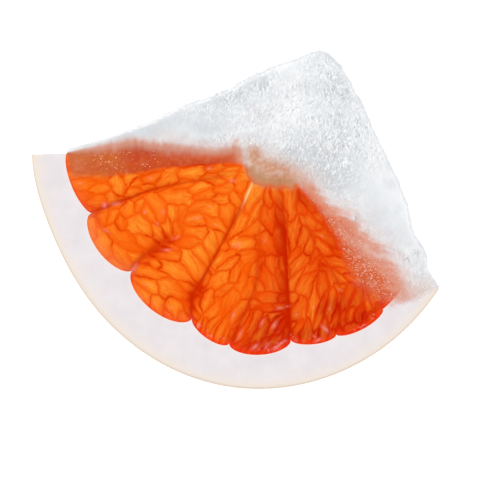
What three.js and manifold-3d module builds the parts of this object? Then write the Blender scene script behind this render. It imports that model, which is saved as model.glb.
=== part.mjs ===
// Part of a grapefruit cross slice, with a lump of ice frozen over its cut edges.
// Millimetres, +Z up. The slice lies flat on its lower cut face. The fruit's axis
// is at x = 0, y = 0 and the lower cut face is at z = 0.

import * as THREE from 'three';
import Module from 'manifold-3d';

const wasm = await Module();
wasm.setup();

// Driving dimensions of the slice
const SLICE_THICKNESS = 10;
const RIND_RADIUS = 54.1;
const RIND_BARREL = 0.25;
const RIND_EDGE_ROUND = 0.5;
const PULP_DOME = 0.75;
const DOME_REACH = 3.2;
const MEMBRANE_GROOVE = 0.7;
const GROOVE_WIDTH = 0.95;
const PITH_GROOVE = 0.35;
const CORE_SINK = 0.4;

// Juice vesicles: long drops that point along the segment
const VESICLE_LENGTH = 7.5;
const VESICLE_WIDTH = 4;
const VESICLE_RELIEF = 0.6;
const VESICLE_CROWN = 0.4;
const VESICLE_LEAN = 0.9;

// Driving dimensions of the ice
const ICE_RISE = 1.7;
const LAP_LIFT = 1.45;
const ICE_SHOULDER = 2.8;
const ICE_CRAG = 0.9;
const ICE_CRAG_SIZE = 5.5;
const ICE_WALL_LEAN = 1.1;
const ICE_JITTER = 0.6;
const ICE_GAP = 0.3;

// Mesh steps
const CORE_ROWS = 3;
const PULP_ROWS = 20;
const PITH_STEPS = [0.1, 0.28, 0.62, 0.9, 1];
const COLUMN_WIDTH = 1.4;
const CUTTER_COLUMN_WIDTH = 4.5;
const ICE_COLUMNS = 48;
const ICE_ROWS = 14;

// The rind isn't quite round: each swell is [angle, spread, height] in degrees and mm
const RIND_SWELLS = [
  [172, 20, 3.7],
  [262, 30, 0.9],
  [330, 25, -0.7],
];

// Segment walls as seen from above, each from the core out to its notch in the pith.
// The first and the last are the two cut edges of the slice.
const WALLS = [
  [[-5.5, 5.0], [-20.5, 5.3], [-30, 6.2], [-38.7, 5.7], [-48.5, 4.0]],
  [[-4.0, -0.7], [-13.7, -2.5], [-25.7, -4.7], [-33.7, -7.5], [-42.5, -11.0]],
  [[-3.5, -2.2], [-14.2, -10.7], [-24.2, -18.2], [-29.2, -21.5], [-32.3, -25.3]],
  [[-2.0, -3.7], [-6.2, -11.5], [-14.7, -27.2], [-17.2, -31.5], [-17.5, -37.3]],
  [[0.0, -4.2], [-0.5, -12.7], [-1.5, -28], [-5.0, -37.0], [-8.2, -43.5]],
  [[4.5, -5.0], [5.5, -11.5], [6.2, -24], [7.2, -42.7]],
  [[8.0, -4.7], [12.7, -17.7], [19.6, -30], [18.5, -41.3]],
  [[9.3, -3.7], [18.2, -17.2], [30.2, -35.0]],
  [[11.5, -2.0], [15.5, -6.5], [22.7, -12.0], [28.2, -18.0], [38.0, -24.5]],
];

// How far each segment's rounded end stands out past the line between its two notches
const LOBE_RISES = [1.7, 3.4, 3.6, 1.9, 2.7, 1.5, 1.6, 0.3];
const LOBE_ROUNDNESS = 0.5;

// Top of the core, where the two cuts meet
const CORE_TOP = [[-3.0, 4.9], [1.0, 4.2], [5.5, 2.4], [10.0, -0.4]];

// Ends of the rind arc, at the two cut edges
const RIND_START_ANGLE = 176.3;
const RIND_END_ANGLE = 326.2;

// The ice from above: its free outline, and the border of the thin lap on the pulp
const ICE_OUTLINE = [
  [-48.6, 4.9], [-35.5, 9.0], [-27.5, 11.7], [-19.5, 15.7], [-14.5, 17.5], [-7.7, 20.2],
  [-0.7, 24.0], [9.0, 27.7], [14.5, 29.5], [18.7, 26.7], [22.2, 21.5], [28.2, 9.2],
  [35.5, -6.5], [37.5, -14.7], [41.0, -21.5], [41.7, -25.0], [44.2, -29.2],
];
const ICE_LAP_BORDER = [
  [-48.6, 3.6], [-48.0, -1.3], [-42.5, -1.6], [-37.2, -1.6], [-28.5, 0.4], [-20.5, 1.7],
  [-8.5, 2.2], [-4.7, 0.2], [0.0, -3.4], [7.0, -4.7], [14.0, -11.0], [19.5, -19.5],
  [22.5, -28.0], [27.0, -33.0], [32.0, -35.2], [38.0, -33.5], [44.0, -29.9],
];

/** Repeatable number from 0 to 1 for a point of a whole-number grid. */
function latticeValue(column, row, seed) {
  let hash = Math.imul(column, 374761393) + Math.imul(row, 668265263) + Math.imul(seed, 974634777);
  hash = Math.imul(hash ^ (hash >>> 13), 1274126177);
  return ((hash ^ (hash >>> 16)) >>> 0) / 4294967295;
}

/** Smooth step from 0 to 1 as value goes from low to high. */
function rampUp(low, high, value) {
  const t = Math.min(Math.max((value - low) / (high - low), 0), 1);
  return t * t * (3 - 2 * t);
}

/** Smooth noise from -1 to 1. */
function smoothNoise(x, y, seed) {
  const column = Math.floor(x);
  const row = Math.floor(y);
  const tx = rampUp(0, 1, x - column);
  const ty = rampUp(0, 1, y - row);
  const low = THREE.MathUtils.lerp(
    latticeValue(column, row, seed), latticeValue(column + 1, row, seed), tx);
  const high = THREE.MathUtils.lerp(
    latticeValue(column, row + 1, seed), latticeValue(column + 1, row + 1, seed), tx);
  return 2 * THREE.MathUtils.lerp(low, high, ty) - 1;
}

/** Cell relief from 0 between cells to about 1 in their middles, on a jittered grid. */
function cellRelief(x, y, seed) {
  let nearest = 9;
  let second = 9;
  for (let row = Math.floor(y) - 1; row <= Math.floor(y) + 1; row += 1) {
    for (let column = Math.floor(x) - 1; column <= Math.floor(x) + 1; column += 1) {
      const centreX = column + 0.15 + 0.7 * latticeValue(column, row, seed);
      const centreY = row + 0.15 + 0.7 * latticeValue(column, row, seed + 1);
      const distance = Math.hypot(x - centreX, y - centreY);
      if (distance < nearest) {
        second = nearest;
        nearest = distance;
      } else if (distance < second) {
        second = distance;
      }
    }
  }
  return rampUp(0, 0.6, second - nearest);
}

/** Smooth plan curve through points. */
function planCurve(points) {
  return new THREE.SplineCurve(points.map(([x, y]) => new THREE.Vector2(x, y)));
}

/** Radius of the rind's outer face at an angle in degrees. */
function rindRadius(angle) {
  let radius = RIND_RADIUS;
  for (const [centre, spread, height] of RIND_SWELLS) {
    radius += height * Math.exp(-(((angle - centre) / spread) ** 2));
  }
  return radius;
}

/** Plan point of the rind's outer face, share 0 at the left cut edge and 1 at the right. */
function rindPoint(share) {
  const angle = THREE.MathUtils.lerp(RIND_START_ANGLE, RIND_END_ANGLE, share);
  const radians = THREE.MathUtils.degToRad(angle);
  return new THREE.Vector2(Math.cos(radians), Math.sin(radians)).multiplyScalar(rindRadius(angle));
}

/** Share of the rind's arc that faces a plan point. */
function rindShare(point) {
  const angle = (THREE.MathUtils.radToDeg(Math.atan2(point.y, point.x)) + 360) % 360;
  return (angle - RIND_START_ANGLE) / (RIND_END_ANGLE - RIND_START_ANGLE);
}

/** Plan point in a segment: along 0 at the core and 1 at the pith, across 0 to 1. */
function segmentPoint(walls, segment, along, across) {
  const point = walls[segment].getPointAt(along).lerp(walls[segment + 1].getPointAt(along), across);
  const start = walls[segment].getPointAt(1);
  const end = walls[segment + 1].getPointAt(1);
  const chord = start.clone().lerp(end, across).length();
  const arc = THREE.MathUtils.lerp(start.length(), end.length(), across);
  const bulge = LOBE_RISES[segment] * (4 * across * (1 - across)) ** LOBE_ROUNDNESS;
  const push = (arc + bulge - chord) * along ** 4;
  return point.addScaledVector(point.clone().normalize(), push);
}

/** Height of the pulp above the cut face, from the vesicles, the dome and the grooves. */
function pulpRelief(segment, along, across, width, length) {
  const fromWall = Math.min(across, 1 - across) * width;
  const fromPith = (1 - along) * length;
  const edge = Math.min(fromWall, fromPith);
  const dome = PULP_DOME * (1 - Math.exp(-((edge / DOME_REACH) ** 2)));
  const groove = MEMBRANE_GROOVE * Math.exp(-((edge / GROOVE_WIDTH) ** 2));
  const lean = VESICLE_LEAN * fromWall;
  const cell = cellRelief(
    (across * width) / VESICLE_WIDTH, (along * length - lean) / VESICLE_LENGTH, 11 + 7 * segment);
  const vesicle = VESICLE_RELIEF * (cell - 1 + VESICLE_CROWN) * rampUp(0.5, 2, edge);
  return dome - groove + vesicle;
}

/** Columns of each segment, so that all are about as wide at the pith. */
function segmentColumns(walls, columnWidth) {
  return LOBE_RISES.map((rise, segment) => {
    const width = walls[segment].getPointAt(1).distanceTo(walls[segment + 1].getPointAt(1));
    return Math.max(2, Math.round((width + rise) / columnWidth));
  });
}

/** One column of the slice's top face, from the top of the core out to the rind. */
function topColumn(walls, coreTop, segment, across, share) {
  const column = [];
  const inner = segmentPoint(walls, segment, 0, across);
  const outer = segmentPoint(walls, segment, 1, across);
  const middle = 0.5;
  const width = segmentPoint(walls, segment, middle, 0).distanceTo(
    segmentPoint(walls, segment, middle, 1));
  const length = inner.distanceTo(outer);
  for (let row = 0; row < CORE_ROWS; row += 1) {
    const point = coreTop.getPointAt(share).lerp(inner, row / CORE_ROWS);
    const sink = CORE_SINK * (1 + smoothNoise(point.x, point.y, 3));
    column.push(new THREE.Vector3(point.x, point.y, SLICE_THICKNESS - sink));
  }
  for (let row = 0; row <= PULP_ROWS; row += 1) {
    const along = row / PULP_ROWS;
    const point = segmentPoint(walls, segment, along, across);
    const wide = width * THREE.MathUtils.lerp(0.25, 1.75, along);
    const height = SLICE_THICKNESS + pulpRelief(segment, along, across, wide, length);
    column.push(new THREE.Vector3(point.x, point.y, height));
  }
  const rind = rindPoint(THREE.MathUtils.clamp(rindShare(outer), 0, 1));
  for (const step of PITH_STEPS) {
    const point = outer.clone().lerp(rind, step);
    const groove = PITH_GROOVE * Math.exp(-((step * 3) ** 2));
    const rim = step === 1 ? RIND_EDGE_ROUND : 0;
    column.push(new THREE.Vector3(point.x, point.y, SLICE_THICKNESS - groove - rim));
  }
  return column;
}

/** All columns of the slice's top face, from the left cut edge to the right. */
function topColumns(columnWidth) {
  const walls = WALLS.map(planCurve);
  const coreTop = planCurve(CORE_TOP);
  const counts = segmentColumns(walls, columnWidth);
  const total = counts.reduce((sum, count) => sum + count, 0);
  const columns = [];
  counts.forEach((count, segment) => {
    const last = segment === counts.length - 1 ? count : count - 1;
    for (let step = 0; step <= last; step += 1) {
      const share = columns.length / total;
      columns.push(topColumn(walls, coreTop, segment, step / count, share));
    }
  });
  const endSide = [columns[0], columns[columns.length - 1]];
  endSide.forEach((column, side) => {
    const rind = rindPoint(side);
    const pulpEdge = column[column.length - 1 - PITH_STEPS.length];
    PITH_STEPS.forEach((step, index) => {
      const point = column[column.length - PITH_STEPS.length + index];
      point.x = THREE.MathUtils.lerp(pulpEdge.x, rind.x, step);
      point.y = THREE.MathUtils.lerp(pulpEdge.y, rind.y, step);
    });
  });
  return columns;
}

/** Indices of the outline of a grid of columns, counter-clockwise seen from above. */
function gridOutline(columnCount, rowCount) {
  const outline = [];
  for (let row = 0; row < rowCount; row += 1) {
    outline.push(row);
  }
  for (let column = 1; column < columnCount; column += 1) {
    outline.push(column * rowCount + rowCount - 1);
  }
  for (let row = rowCount - 2; row >= 0; row -= 1) {
    outline.push((columnCount - 1) * rowCount + row);
  }
  for (let column = columnCount - 2; column > 0; column -= 1) {
    outline.push(column * rowCount);
  }
  return outline;
}

/** Outward plan direction at each point of a counter-clockwise outline. */
function outwardDirections(points) {
  return points.map((point, index) => {
    const before = points[(index + points.length - 1) % points.length];
    const after = points[(index + 1) % points.length];
    const along = new THREE.Vector2(after.x - before.x, after.y - before.y).normalize();
    return new THREE.Vector2(along.y, -along.x);
  });
}

/** Closed geometry from a grid of top points, side rings below its outline, and a flat base. */
function gridSolid(columns, ringOf) {
  const rowCount = columns[0].length;
  const points = columns.flat();
  const outline = gridOutline(columns.length, rowCount);
  const outward = outwardDirections(outline.map((index) => points[index]));
  const triangles = [];
  for (let column = 0; column < columns.length - 1; column += 1) {
    for (let row = 0; row < rowCount - 1; row += 1) {
      const corner = column * rowCount + row;
      const next = corner + rowCount;
      triangles.push(corner, corner + 1, next + 1, corner, next + 1, next);
    }
  }
  let ring = outline;
  for (const below of ringOf(outline.map((index) => points[index]), outward)) {
    const lower = below.map((point, index) => points.length + index);
    points.push(...below);
    ring.forEach((index, place) => {
      const after = (place + 1) % ring.length;
      triangles.push(index, lower[place], lower[after], index, lower[after], ring[after]);
    });
    ring = lower;
  }
  const base = ring.map((index) => new THREE.Vector2(points[index].x, points[index].y));
  for (const [a, b, c] of THREE.ShapeUtils.triangulateShape(base, [])) {
    triangles.push(ring[a], ring[c], ring[b]);
  }
  return { points, triangles };
}

/** A manifold-3d solid from points and triangles. */
function toSolid({ points, triangles }) {
  const vertProperties = new Float32Array(points.flatMap((point) => [point.x, point.y, point.z]));
  const triVerts = new Uint32Array(triangles);
  return new wasm.Manifold(new wasm.Mesh({ numProp: 3, vertProperties, triVerts }));
}

/** A three.js geometry from a manifold-3d solid. */
function toGeometry(solid) {
  const mesh = solid.getMesh();
  const geometry = new THREE.BufferGeometry();
  geometry.setAttribute('position', new THREE.BufferAttribute(mesh.vertProperties, 3));
  geometry.setIndex(new THREE.BufferAttribute(mesh.triVerts, 1));
  return geometry;
}

/** Outline ring at one height, moved outwards by a distance that may vary along it. */
function ringAt(outline, outward, height, distanceAt) {
  return outline.map((point, index) => {
    const distance = distanceAt(point, index);
    return new THREE.Vector3(
      point.x + outward[index].x * distance, point.y + outward[index].y * distance, height);
  });
}

/** Side rings of the slice: the rind bulges a little, the cut edges are upright. */
function sliceRings(outline, outward, floor) {
  const isRind = (point) => Math.hypot(point.x, point.y) > RIND_RADIUS - 1.5;
  const bulge = (amount) => (point) => (isRind(point) ? amount : 0);
  return [
    ringAt(outline, outward, SLICE_THICKNESS - 2, bulge(0.7 * RIND_BARREL + RIND_EDGE_ROUND)),
    ringAt(outline, outward, SLICE_THICKNESS / 2, bulge(RIND_BARREL + RIND_EDGE_ROUND)),
    ringAt(outline, outward, RIND_EDGE_ROUND, bulge(RIND_EDGE_ROUND)),
    ringAt(outline, outward, floor, () => 0),
  ];
}

/** The slice as one solid. */
function sliceSolid() {
  const columns = topColumns(COLUMN_WIDTH);
  return toSolid(gridSolid(columns, (outline, outward) => sliceRings(outline, outward, 0)));
}

/** The slice grown by the gap all round and smoothed on top, to cut its place in the ice. */
function sliceCutter() {
  const columns = topColumns(CUTTER_COLUMN_WIDTH);
  const pulpTop = PULP_DOME + VESICLE_RELIEF * VESICLE_CROWN;
  growOutline(columns, ICE_GAP);
  for (const column of columns) {
    column.forEach((point, row) => {
      const overPulp = row >= CORE_ROWS && row < CORE_ROWS + PULP_ROWS;
      point.z = SLICE_THICKNESS + ICE_GAP + (overPulp ? pulpTop - ICE_GAP / 2 : 0);
    });
  }
  const rings = (outline, outward) => sliceRings(outline, outward, -ICE_GAP);
  return toSolid(gridSolid(columns, rings));
}

/** Moves the outline of a grid of columns outwards. */
function growOutline(columns, distance) {
  const points = columns.flat();
  const outline = gridOutline(columns.length, columns[0].length).map((index) => points[index]);
  const outward = outwardDirections(outline);
  outline.forEach((point, index) => {
    point.x += outward[index].x * distance;
    point.y += outward[index].y * distance;
  });
}

/** Height of the ice: share 0 at the lap's border on the pulp and 1 at the free outline. */
function iceHeight(point, share) {
  const grain = smoothNoise(point.x / ICE_CRAG_SIZE, point.y / ICE_CRAG_SIZE, 21)
    + 0.6 * smoothNoise((2.3 * point.x) / ICE_CRAG_SIZE, (2.3 * point.y) / ICE_CRAG_SIZE, 22);
  const rise = ICE_RISE * rampUp(0, 0.5, share);
  const shoulder = ICE_SHOULDER * rampUp(0.8, 1, share);
  const crag = ICE_CRAG * grain * rampUp(0, 0.35, share);
  return SLICE_THICKNESS + LAP_LIFT + rise - shoulder + crag;
}

/** The lump of ice, before the slice is cut out of it. */
function iceLump() {
  const border = planCurve(ICE_LAP_BORDER);
  const free = planCurve(ICE_OUTLINE);
  const columns = [];
  for (let index = ICE_COLUMNS; index >= 0; index -= 1) {
    const column = [];
    for (let row = 0; row <= ICE_ROWS; row += 1) {
      const share = row / ICE_ROWS;
      const along = index / ICE_COLUMNS;
      const inner = border.getPoint(along);
      const outer = free.getPoint(along);
      const point = inner.clone().lerp(outer, share);
      const inside = row > 0 && row < ICE_ROWS && index > 0 && index < ICE_COLUMNS;
      if (inside) {
        const reach = ICE_JITTER * (inner.distanceTo(outer) / ICE_ROWS);
        point.x += reach * (latticeValue(index, row, 31) - 0.5);
        point.y += reach * (latticeValue(index, row, 32) - 0.5);
      }
      column.push(new THREE.Vector3(point.x, point.y, iceHeight(point, share)));
    }
    columns.push(column);
  }
  return toSolid(gridSolid(columns, iceRings));
}

/** Side rings of the ice: craggy walls that lean in towards the base, plain at the thin tips. */
function iceRings(outline, outward) {
  const tips = [ICE_OUTLINE[0], ICE_OUTLINE[ICE_OUTLINE.length - 1]];
  const fade = (point) => rampUp(2, 10, Math.min(
    ...tips.map(([x, y]) => Math.hypot(point.x - x, point.y - y))));
  const crag = (seed) => (point, index) => fade(point) * 0.5 * (latticeValue(index, seed, 41) - 0.5);
  const base = (point, index) => crag(3)(point, index) - (fade(point) * ICE_WALL_LEAN) / 2;
  return [
    ringAt(outline, outward, SLICE_THICKNESS * 0.5, crag(1)),
    ringAt(outline, outward, SLICE_THICKNESS * 0.2, crag(2)),
    ringAt(outline, outward, 0, base),
  ];
}

/** The ice with the slice cut out of it, without any loose scraps. */
function iceSolid() {
  const pieces = iceLump().subtract(sliceCutter()).decompose();
  return pieces.reduce((best, piece) => (piece.volume() > best.volume() ? piece : best));
}

/** The slice: rind, pith, segment walls and pulp are one piece. */
function makeSlice() {
  const material = new THREE.MeshStandardMaterial({ color: 0xf07020, roughness: 0.35, metalness: 0 });
  const mesh = new THREE.Mesh(toGeometry(sliceSolid()), material);
  mesh.name = 'slice';
  return mesh;
}

/** The lump of ice on the cut edges. */
function makeIce() {
  const material = new THREE.MeshStandardMaterial({ color: 0xe3e8ec, roughness: 0.45, metalness: 0 });
  const mesh = new THREE.Mesh(toGeometry(iceSolid()), material);
  mesh.name = 'ice';
  return mesh;
}

const group = new THREE.Group();
group.add(makeSlice(), makeIce());

export default group;
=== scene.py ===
"""Looks of part of a grapefruit cross slice with frosted ice frozen over its cut edges.

The plan of the slice and all sizes are in millimetres, as measured on the fruit.
Meshes are in metres. The slice lies on its lower cut face with the fruit's axis
at the origin, the peel's arc towards -Y and the ice towards +Y.
"""

import logging
import math
from dataclasses import dataclass, field
from enum import Enum, IntEnum
from typing import Optional, Sequence

import bpy
import numpy as np
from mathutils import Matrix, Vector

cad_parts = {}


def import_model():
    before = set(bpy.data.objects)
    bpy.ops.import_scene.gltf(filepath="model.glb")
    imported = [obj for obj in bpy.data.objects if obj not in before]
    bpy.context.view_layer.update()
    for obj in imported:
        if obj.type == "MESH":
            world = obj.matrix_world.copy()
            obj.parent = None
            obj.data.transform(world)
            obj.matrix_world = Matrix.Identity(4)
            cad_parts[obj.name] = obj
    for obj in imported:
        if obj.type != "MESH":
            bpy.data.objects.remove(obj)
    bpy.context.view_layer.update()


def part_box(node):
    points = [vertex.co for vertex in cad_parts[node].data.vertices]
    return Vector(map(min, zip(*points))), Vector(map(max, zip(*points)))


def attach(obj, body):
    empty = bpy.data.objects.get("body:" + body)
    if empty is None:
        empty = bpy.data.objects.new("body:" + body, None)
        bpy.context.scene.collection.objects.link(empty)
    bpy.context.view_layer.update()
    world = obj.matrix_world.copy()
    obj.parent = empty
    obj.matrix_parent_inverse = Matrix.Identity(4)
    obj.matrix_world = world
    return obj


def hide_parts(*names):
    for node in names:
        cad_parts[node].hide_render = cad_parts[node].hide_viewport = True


LOG = logging.getLogger("grapefruit")
MM = 0.001
BODY = "root"
STUDIO_LEVEL = 1.22
TINY = 1e-9

Array = np.ndarray


class Slot(Enum):
    """The record's material slots."""

    PULP = "pulp"
    PITH = "pith"
    PEEL = "peel"
    ICE = "ice"


class Face(Enum):
    """The two cut faces of the slice."""

    UPPER = 1
    LOWER = -1


class Noise(IntEnum):
    """Seeds of the noise patterns, by what each is for."""

    ICE_CRAGS = 21
    ICE_FINE_CRAGS = 22
    ICE_CHIPS = 23
    ICE_NEEDLES = 27
    WALL_EDGE = 71
    WALL_SWELL = 72
    VEIN_FADE = 83
    VEIN_WIDTH = 85
    CORE_EDGE = 89
    GLINT_PICK = 91
    GLINT_PLACE = 92
    VESICLE_TINT = 93
    SHORE_GLINTS = 95
    SHORE_GAPS = 96
    PULP_CLOUDS = 97
    GLINT_EDGE = 98
    PITH_SWELL = 101
    PEACH_REACH = 111
    GLAND_X = 121
    GLAND_Y = 122
    CORE_LUMPS = 131
    ICE_SIDES = 141
    LAP_EDGE = 151
    LAP_FEATHERS = 152
    LAP_GRAIN = 153
    LAP_SWELL = 155
    STAIN_BLOTCHES = 157
    ICE_CLOUDS = 159
    CHIPPED_EDGE = 161


# Numbers

WORD = 0xFFFFFFFF
COLUMN_FACTOR = 374761393
ROW_FACTOR = 668265263
SEED_FACTOR = 974634777
MIX_FACTOR = 1274126177
OCTAVE_FADE = 0.55
OCTAVE_ZOOM = 2.1
OCTAVE_SHIFT = 17


def ramp_up(low: float, high: float, value: Array) -> Array:
    """Smooth step from 0 to 1.

    Args:
        low: Value at which the step starts.
        high: Value at which the step ends.
        value: Values to map.

    Returns:
        Values from 0 to 1.
    """
    t = np.clip((value - low) / (high - low), 0.0, 1.0)
    return t * t * (3.0 - 2.0 * t)


def bell(value: Array, width: float | Array) -> Array:
    """Bell curve: 1 at 0 and falling off to both sides.

    Args:
        value: Values to map.
        width: Value at which the curve has fallen to 1/e.

    Returns:
        Values from 0 to 1.
    """
    return np.exp(-((value / width) ** 2))


def run_along(points: Array) -> Array:
    """Distance along a line of points, from 0 at the first one."""
    return np.concatenate([[0.0], np.cumsum(np.linalg.norm(np.diff(points, axis=0), axis=1))])


def lattice_value(column: Array, row: Array, seed: int) -> Array:
    """Repeatable number for each point of a whole-number grid.

    Args:
        column: Whole-number columns.
        row: Whole-number rows.
        seed: Which set of numbers.

    Returns:
        Numbers from 0 to 1.
    """
    wrap = np.uint64(WORD)
    mixed = (
        column.astype(np.int64).astype(np.uint64) * np.uint64(COLUMN_FACTOR)
        + row.astype(np.int64).astype(np.uint64) * np.uint64(ROW_FACTOR)
        + np.uint64(seed) * np.uint64(SEED_FACTOR)
    ) & wrap
    mixed = ((mixed ^ (mixed >> np.uint64(13))) * np.uint64(MIX_FACTOR)) & wrap
    return (mixed ^ (mixed >> np.uint64(16))).astype(np.float64) / (WORD + 1)


def smooth_noise(x: Array, y: Array, seed: int) -> Array:
    """Smooth noise over a plane.

    Args:
        x: First coordinate, in lattice steps.
        y: Second coordinate, in lattice steps.
        seed: Which noise.

    Returns:
        Values from -1 to 1.
    """
    column, row = np.floor(x), np.floor(y)
    tx, ty = ramp_up(0, 1, x - column), ramp_up(0, 1, y - row)
    low = lattice_value(column, row, seed) * (1 - tx) + lattice_value(column + 1, row, seed) * tx
    high = (lattice_value(column, row + 1, seed) * (1 - tx)
            + lattice_value(column + 1, row + 1, seed) * tx)
    return 2.0 * (low * (1 - ty) + high * ty) - 1.0


def rough_noise(x: Array, y: Array, seed: int, octaves: int = 4) -> Array:
    """Noise with finer and finer detail.

    Args:
        x: First coordinate, in lattice steps of the coarsest layer.
        y: Second coordinate.
        seed: Which noise.
        octaves: How many layers.

    Returns:
        Values from about -1 to 1.
    """
    total, weight, scale = np.zeros_like(x), 0.0, 1.0
    for octave in range(octaves):
        share = OCTAVE_FADE ** octave
        shift = OCTAVE_SHIFT * octave
        total = total + share * smooth_noise(x * scale + shift, y * scale, seed + octave)
        weight += share
        scale *= OCTAVE_ZOOM
    return total / weight


# Plan of the slice


class PlanCurve:
    """Smooth plan curve through a few points."""

    SAMPLES = 400

    def __init__(self, points: Sequence[tuple[float, float]]) -> None:
        """Samples the curve.

        Args:
            points: Plan points in mm that the curve passes through.
        """
        known = np.array(points, float)
        place = np.linspace(0, len(known) - 1, self.SAMPLES)
        index = np.minimum(place.astype(int), len(known) - 2)
        t = (place - index)[:, None]
        before, after = np.maximum(index - 1, 0), np.minimum(index + 2, len(known) - 1)
        start, end = known[index], known[index + 1]
        pull_in, pull_out = (end - known[before]) / 2, (known[after] - start) / 2
        self.points = ((2 * start - 2 * end + pull_in + pull_out) * t ** 3
                       + (3 * end - 3 * start - 2 * pull_in - pull_out) * t ** 2
                       + pull_in * t + start)
        self.lengths = run_along(self.points)

    @property
    def length(self) -> float:
        """Length of the curve in mm."""
        return float(self.lengths[-1])

    def at(self, share: Array) -> Array:
        """Points at shares of the curve's length.

        Args:
            share: Shares from 0 to 1, of any shape.

        Returns:
            Plan points, one more axis than share.
        """
        target = np.clip(share, 0, 1) * self.length
        return np.stack([np.interp(target, self.lengths, self.points[:, k]) for k in (0, 1)], -1)

    def at_place(self, place: Array) -> Array:
        """Points at shares of the way through the known points.

        Args:
            place: Shares from 0 to 1.

        Returns:
            Plan points.
        """
        grid = np.linspace(0, 1, self.SAMPLES)
        return np.stack([np.interp(place, grid, self.points[:, k]) for k in (0, 1)], -1)


@dataclass
class SlicePlan:
    """Plan and heights of the slice, as in its solid.

    Each swell of the rind has its direction and spread in degrees and its height in mm. Each
    segment bulges by its lobe rise beyond the chord between the ends of its two walls.
    """

    thickness: float
    rind_radius: float = 54.1
    pulp_dome: float = 0.75
    dome_reach: float = 3.2
    membrane_groove: float = 0.7
    groove_width: float = 0.95
    pith_groove: float = 0.35
    edge_round: float = 0.5
    barrel: float = 0.25
    arc_start: float = 176.3
    arc_end: float = 326.2
    roundness: float = 0.5
    rind_swells: tuple = ((172, 20, 3.7), (262, 30, 0.9), (330, 25, -0.7))
    lobe_rises: tuple = (1.7, 3.4, 3.6, 1.9, 2.7, 1.5, 1.6, 0.3)
    wall_points: tuple = (
        ((-5.5, 5.0), (-20.5, 5.3), (-30, 6.2), (-38.7, 5.7), (-48.5, 4.0)),
        ((-4.0, -0.7), (-13.7, -2.5), (-25.7, -4.7), (-33.7, -7.5), (-42.5, -11.0)),
        ((-3.5, -2.2), (-14.2, -10.7), (-24.2, -18.2), (-29.2, -21.5), (-32.3, -25.3)),
        ((-2.0, -3.7), (-6.2, -11.5), (-14.7, -27.2), (-17.2, -31.5), (-17.5, -37.3)),
        ((0.0, -4.2), (-0.5, -12.7), (-1.5, -28), (-5.0, -37.0), (-8.2, -43.5)),
        ((4.5, -5.0), (5.5, -11.5), (6.2, -24), (7.2, -42.7)),
        ((8.0, -4.7), (12.7, -17.7), (19.6, -30), (18.5, -41.3)),
        ((9.3, -3.7), (18.2, -17.2), (30.2, -35.0)),
        ((11.5, -2.0), (15.5, -6.5), (22.7, -12.0), (28.2, -18.0), (38.0, -24.5)),
    )
    core_points: tuple = ((-3.0, 4.9), (1.0, 4.2), (5.5, 2.4), (10.0, -0.4))
    push_power: int = 4
    lobe_samples: int = 200
    arc_samples: int = 240
    wall_samples: int = 60
    core_samples: int = 20
    walls: list[PlanCurve] = field(init=False)
    core_top: PlanCurve = field(init=False)

    def __post_init__(self) -> None:
        """Makes the curves."""
        self.walls = [PlanCurve(points) for points in self.wall_points]
        self.core_top = PlanCurve(self.core_points)

    @property
    def segments(self) -> range:
        """Numbers of the segments, from the left cut edge to the right one."""
        return range(len(self.lobe_rises))

    def rind_point(self, share: Array) -> Array:
        """Plan points of the peel's outer face.

        Args:
            share: Shares of the arc, 0 at the left cut edge and 1 at the right.

        Returns:
            Plan points.
        """
        angle = self.arc_start + (self.arc_end - self.arc_start) * share
        radius = np.full_like(angle, self.rind_radius)
        for centre, spread, height in self.rind_swells:
            radius = radius + height * bell(angle - centre, spread)
        turn = np.radians(angle)
        return np.stack([np.cos(turn) * radius, np.sin(turn) * radius], -1)

    def rind_share(self, points: Array) -> Array:
        """Shares of the peel's arc that face plan points."""
        angle = np.degrees(np.arctan2(points[..., 1], points[..., 0])) % 360
        return np.clip((angle - self.arc_start) / (self.arc_end - self.arc_start), 0, 1)

    def segment_point(self, segment: int, along: Array, across: Array) -> Array:
        """Plan points in a segment.

        Args:
            segment: Number of the segment.
            along: 0 at the core and 1 at the pith.
            across: 0 at the segment's first wall and 1 at its second.

        Returns:
            Plan points.
        """
        along, across = np.broadcast_arrays(np.asarray(along, float), np.asarray(across, float))
        first, second = self.walls[segment], self.walls[segment + 1]
        share = across[..., None]
        points = first.at(along) * (1 - share) + second.at(along) * share
        start, end = first.at(np.array(1.0)), second.at(np.array(1.0))
        chord = np.linalg.norm(start * (1 - share) + end * share, axis=-1)
        arc = np.linalg.norm(start) * (1 - across) + np.linalg.norm(end) * across
        bulge = self.lobe_rises[segment] * (4 * across * (1 - across)) ** self.roundness
        push = (arc + bulge - chord) * along ** self.push_power
        reach = np.linalg.norm(points, axis=-1)
        return points * (1 + push / reach)[..., None]

    def border_columns(self, step: float) -> tuple[Array, Array]:
        """Matching points on the pulp's border and on the peel's outer face.

        Args:
            step: Distance between columns in mm.

        Returns:
            Border points and peel points, from the left cut edge to the right one.
        """
        parts = []
        samples = np.linspace(0, 1, self.lobe_samples)
        for segment in self.segments:
            run = run_along(self.segment_point(segment, 1.0, samples))
            count = max(4, round(run[-1] / step))
            across = np.interp(np.linspace(0, run[-1], count + 1), run, samples)
            points = self.segment_point(segment, 1.0, across)
            parts.append(points if segment == self.segments[-1] else points[:-1])
        border = np.concatenate(parts)
        share = self.rind_share(border)
        share[0], share[-1] = 0.0, 1.0
        return border, self.rind_point(share)

    def outline(self) -> Array:
        """Closed plan outline of the whole slice.

        Returns:
            Plan points, counter-clockwise.
        """
        arc = self.rind_point(np.linspace(0, 1, self.arc_samples))
        left = self.walls[0].at(np.linspace(0, 1, self.wall_samples))
        right = self.walls[-1].at(np.linspace(1, 0, self.wall_samples))
        top = self.core_top.at(np.linspace(1, 0, self.core_samples))
        return np.concatenate([left, arc, right, top])

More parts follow.
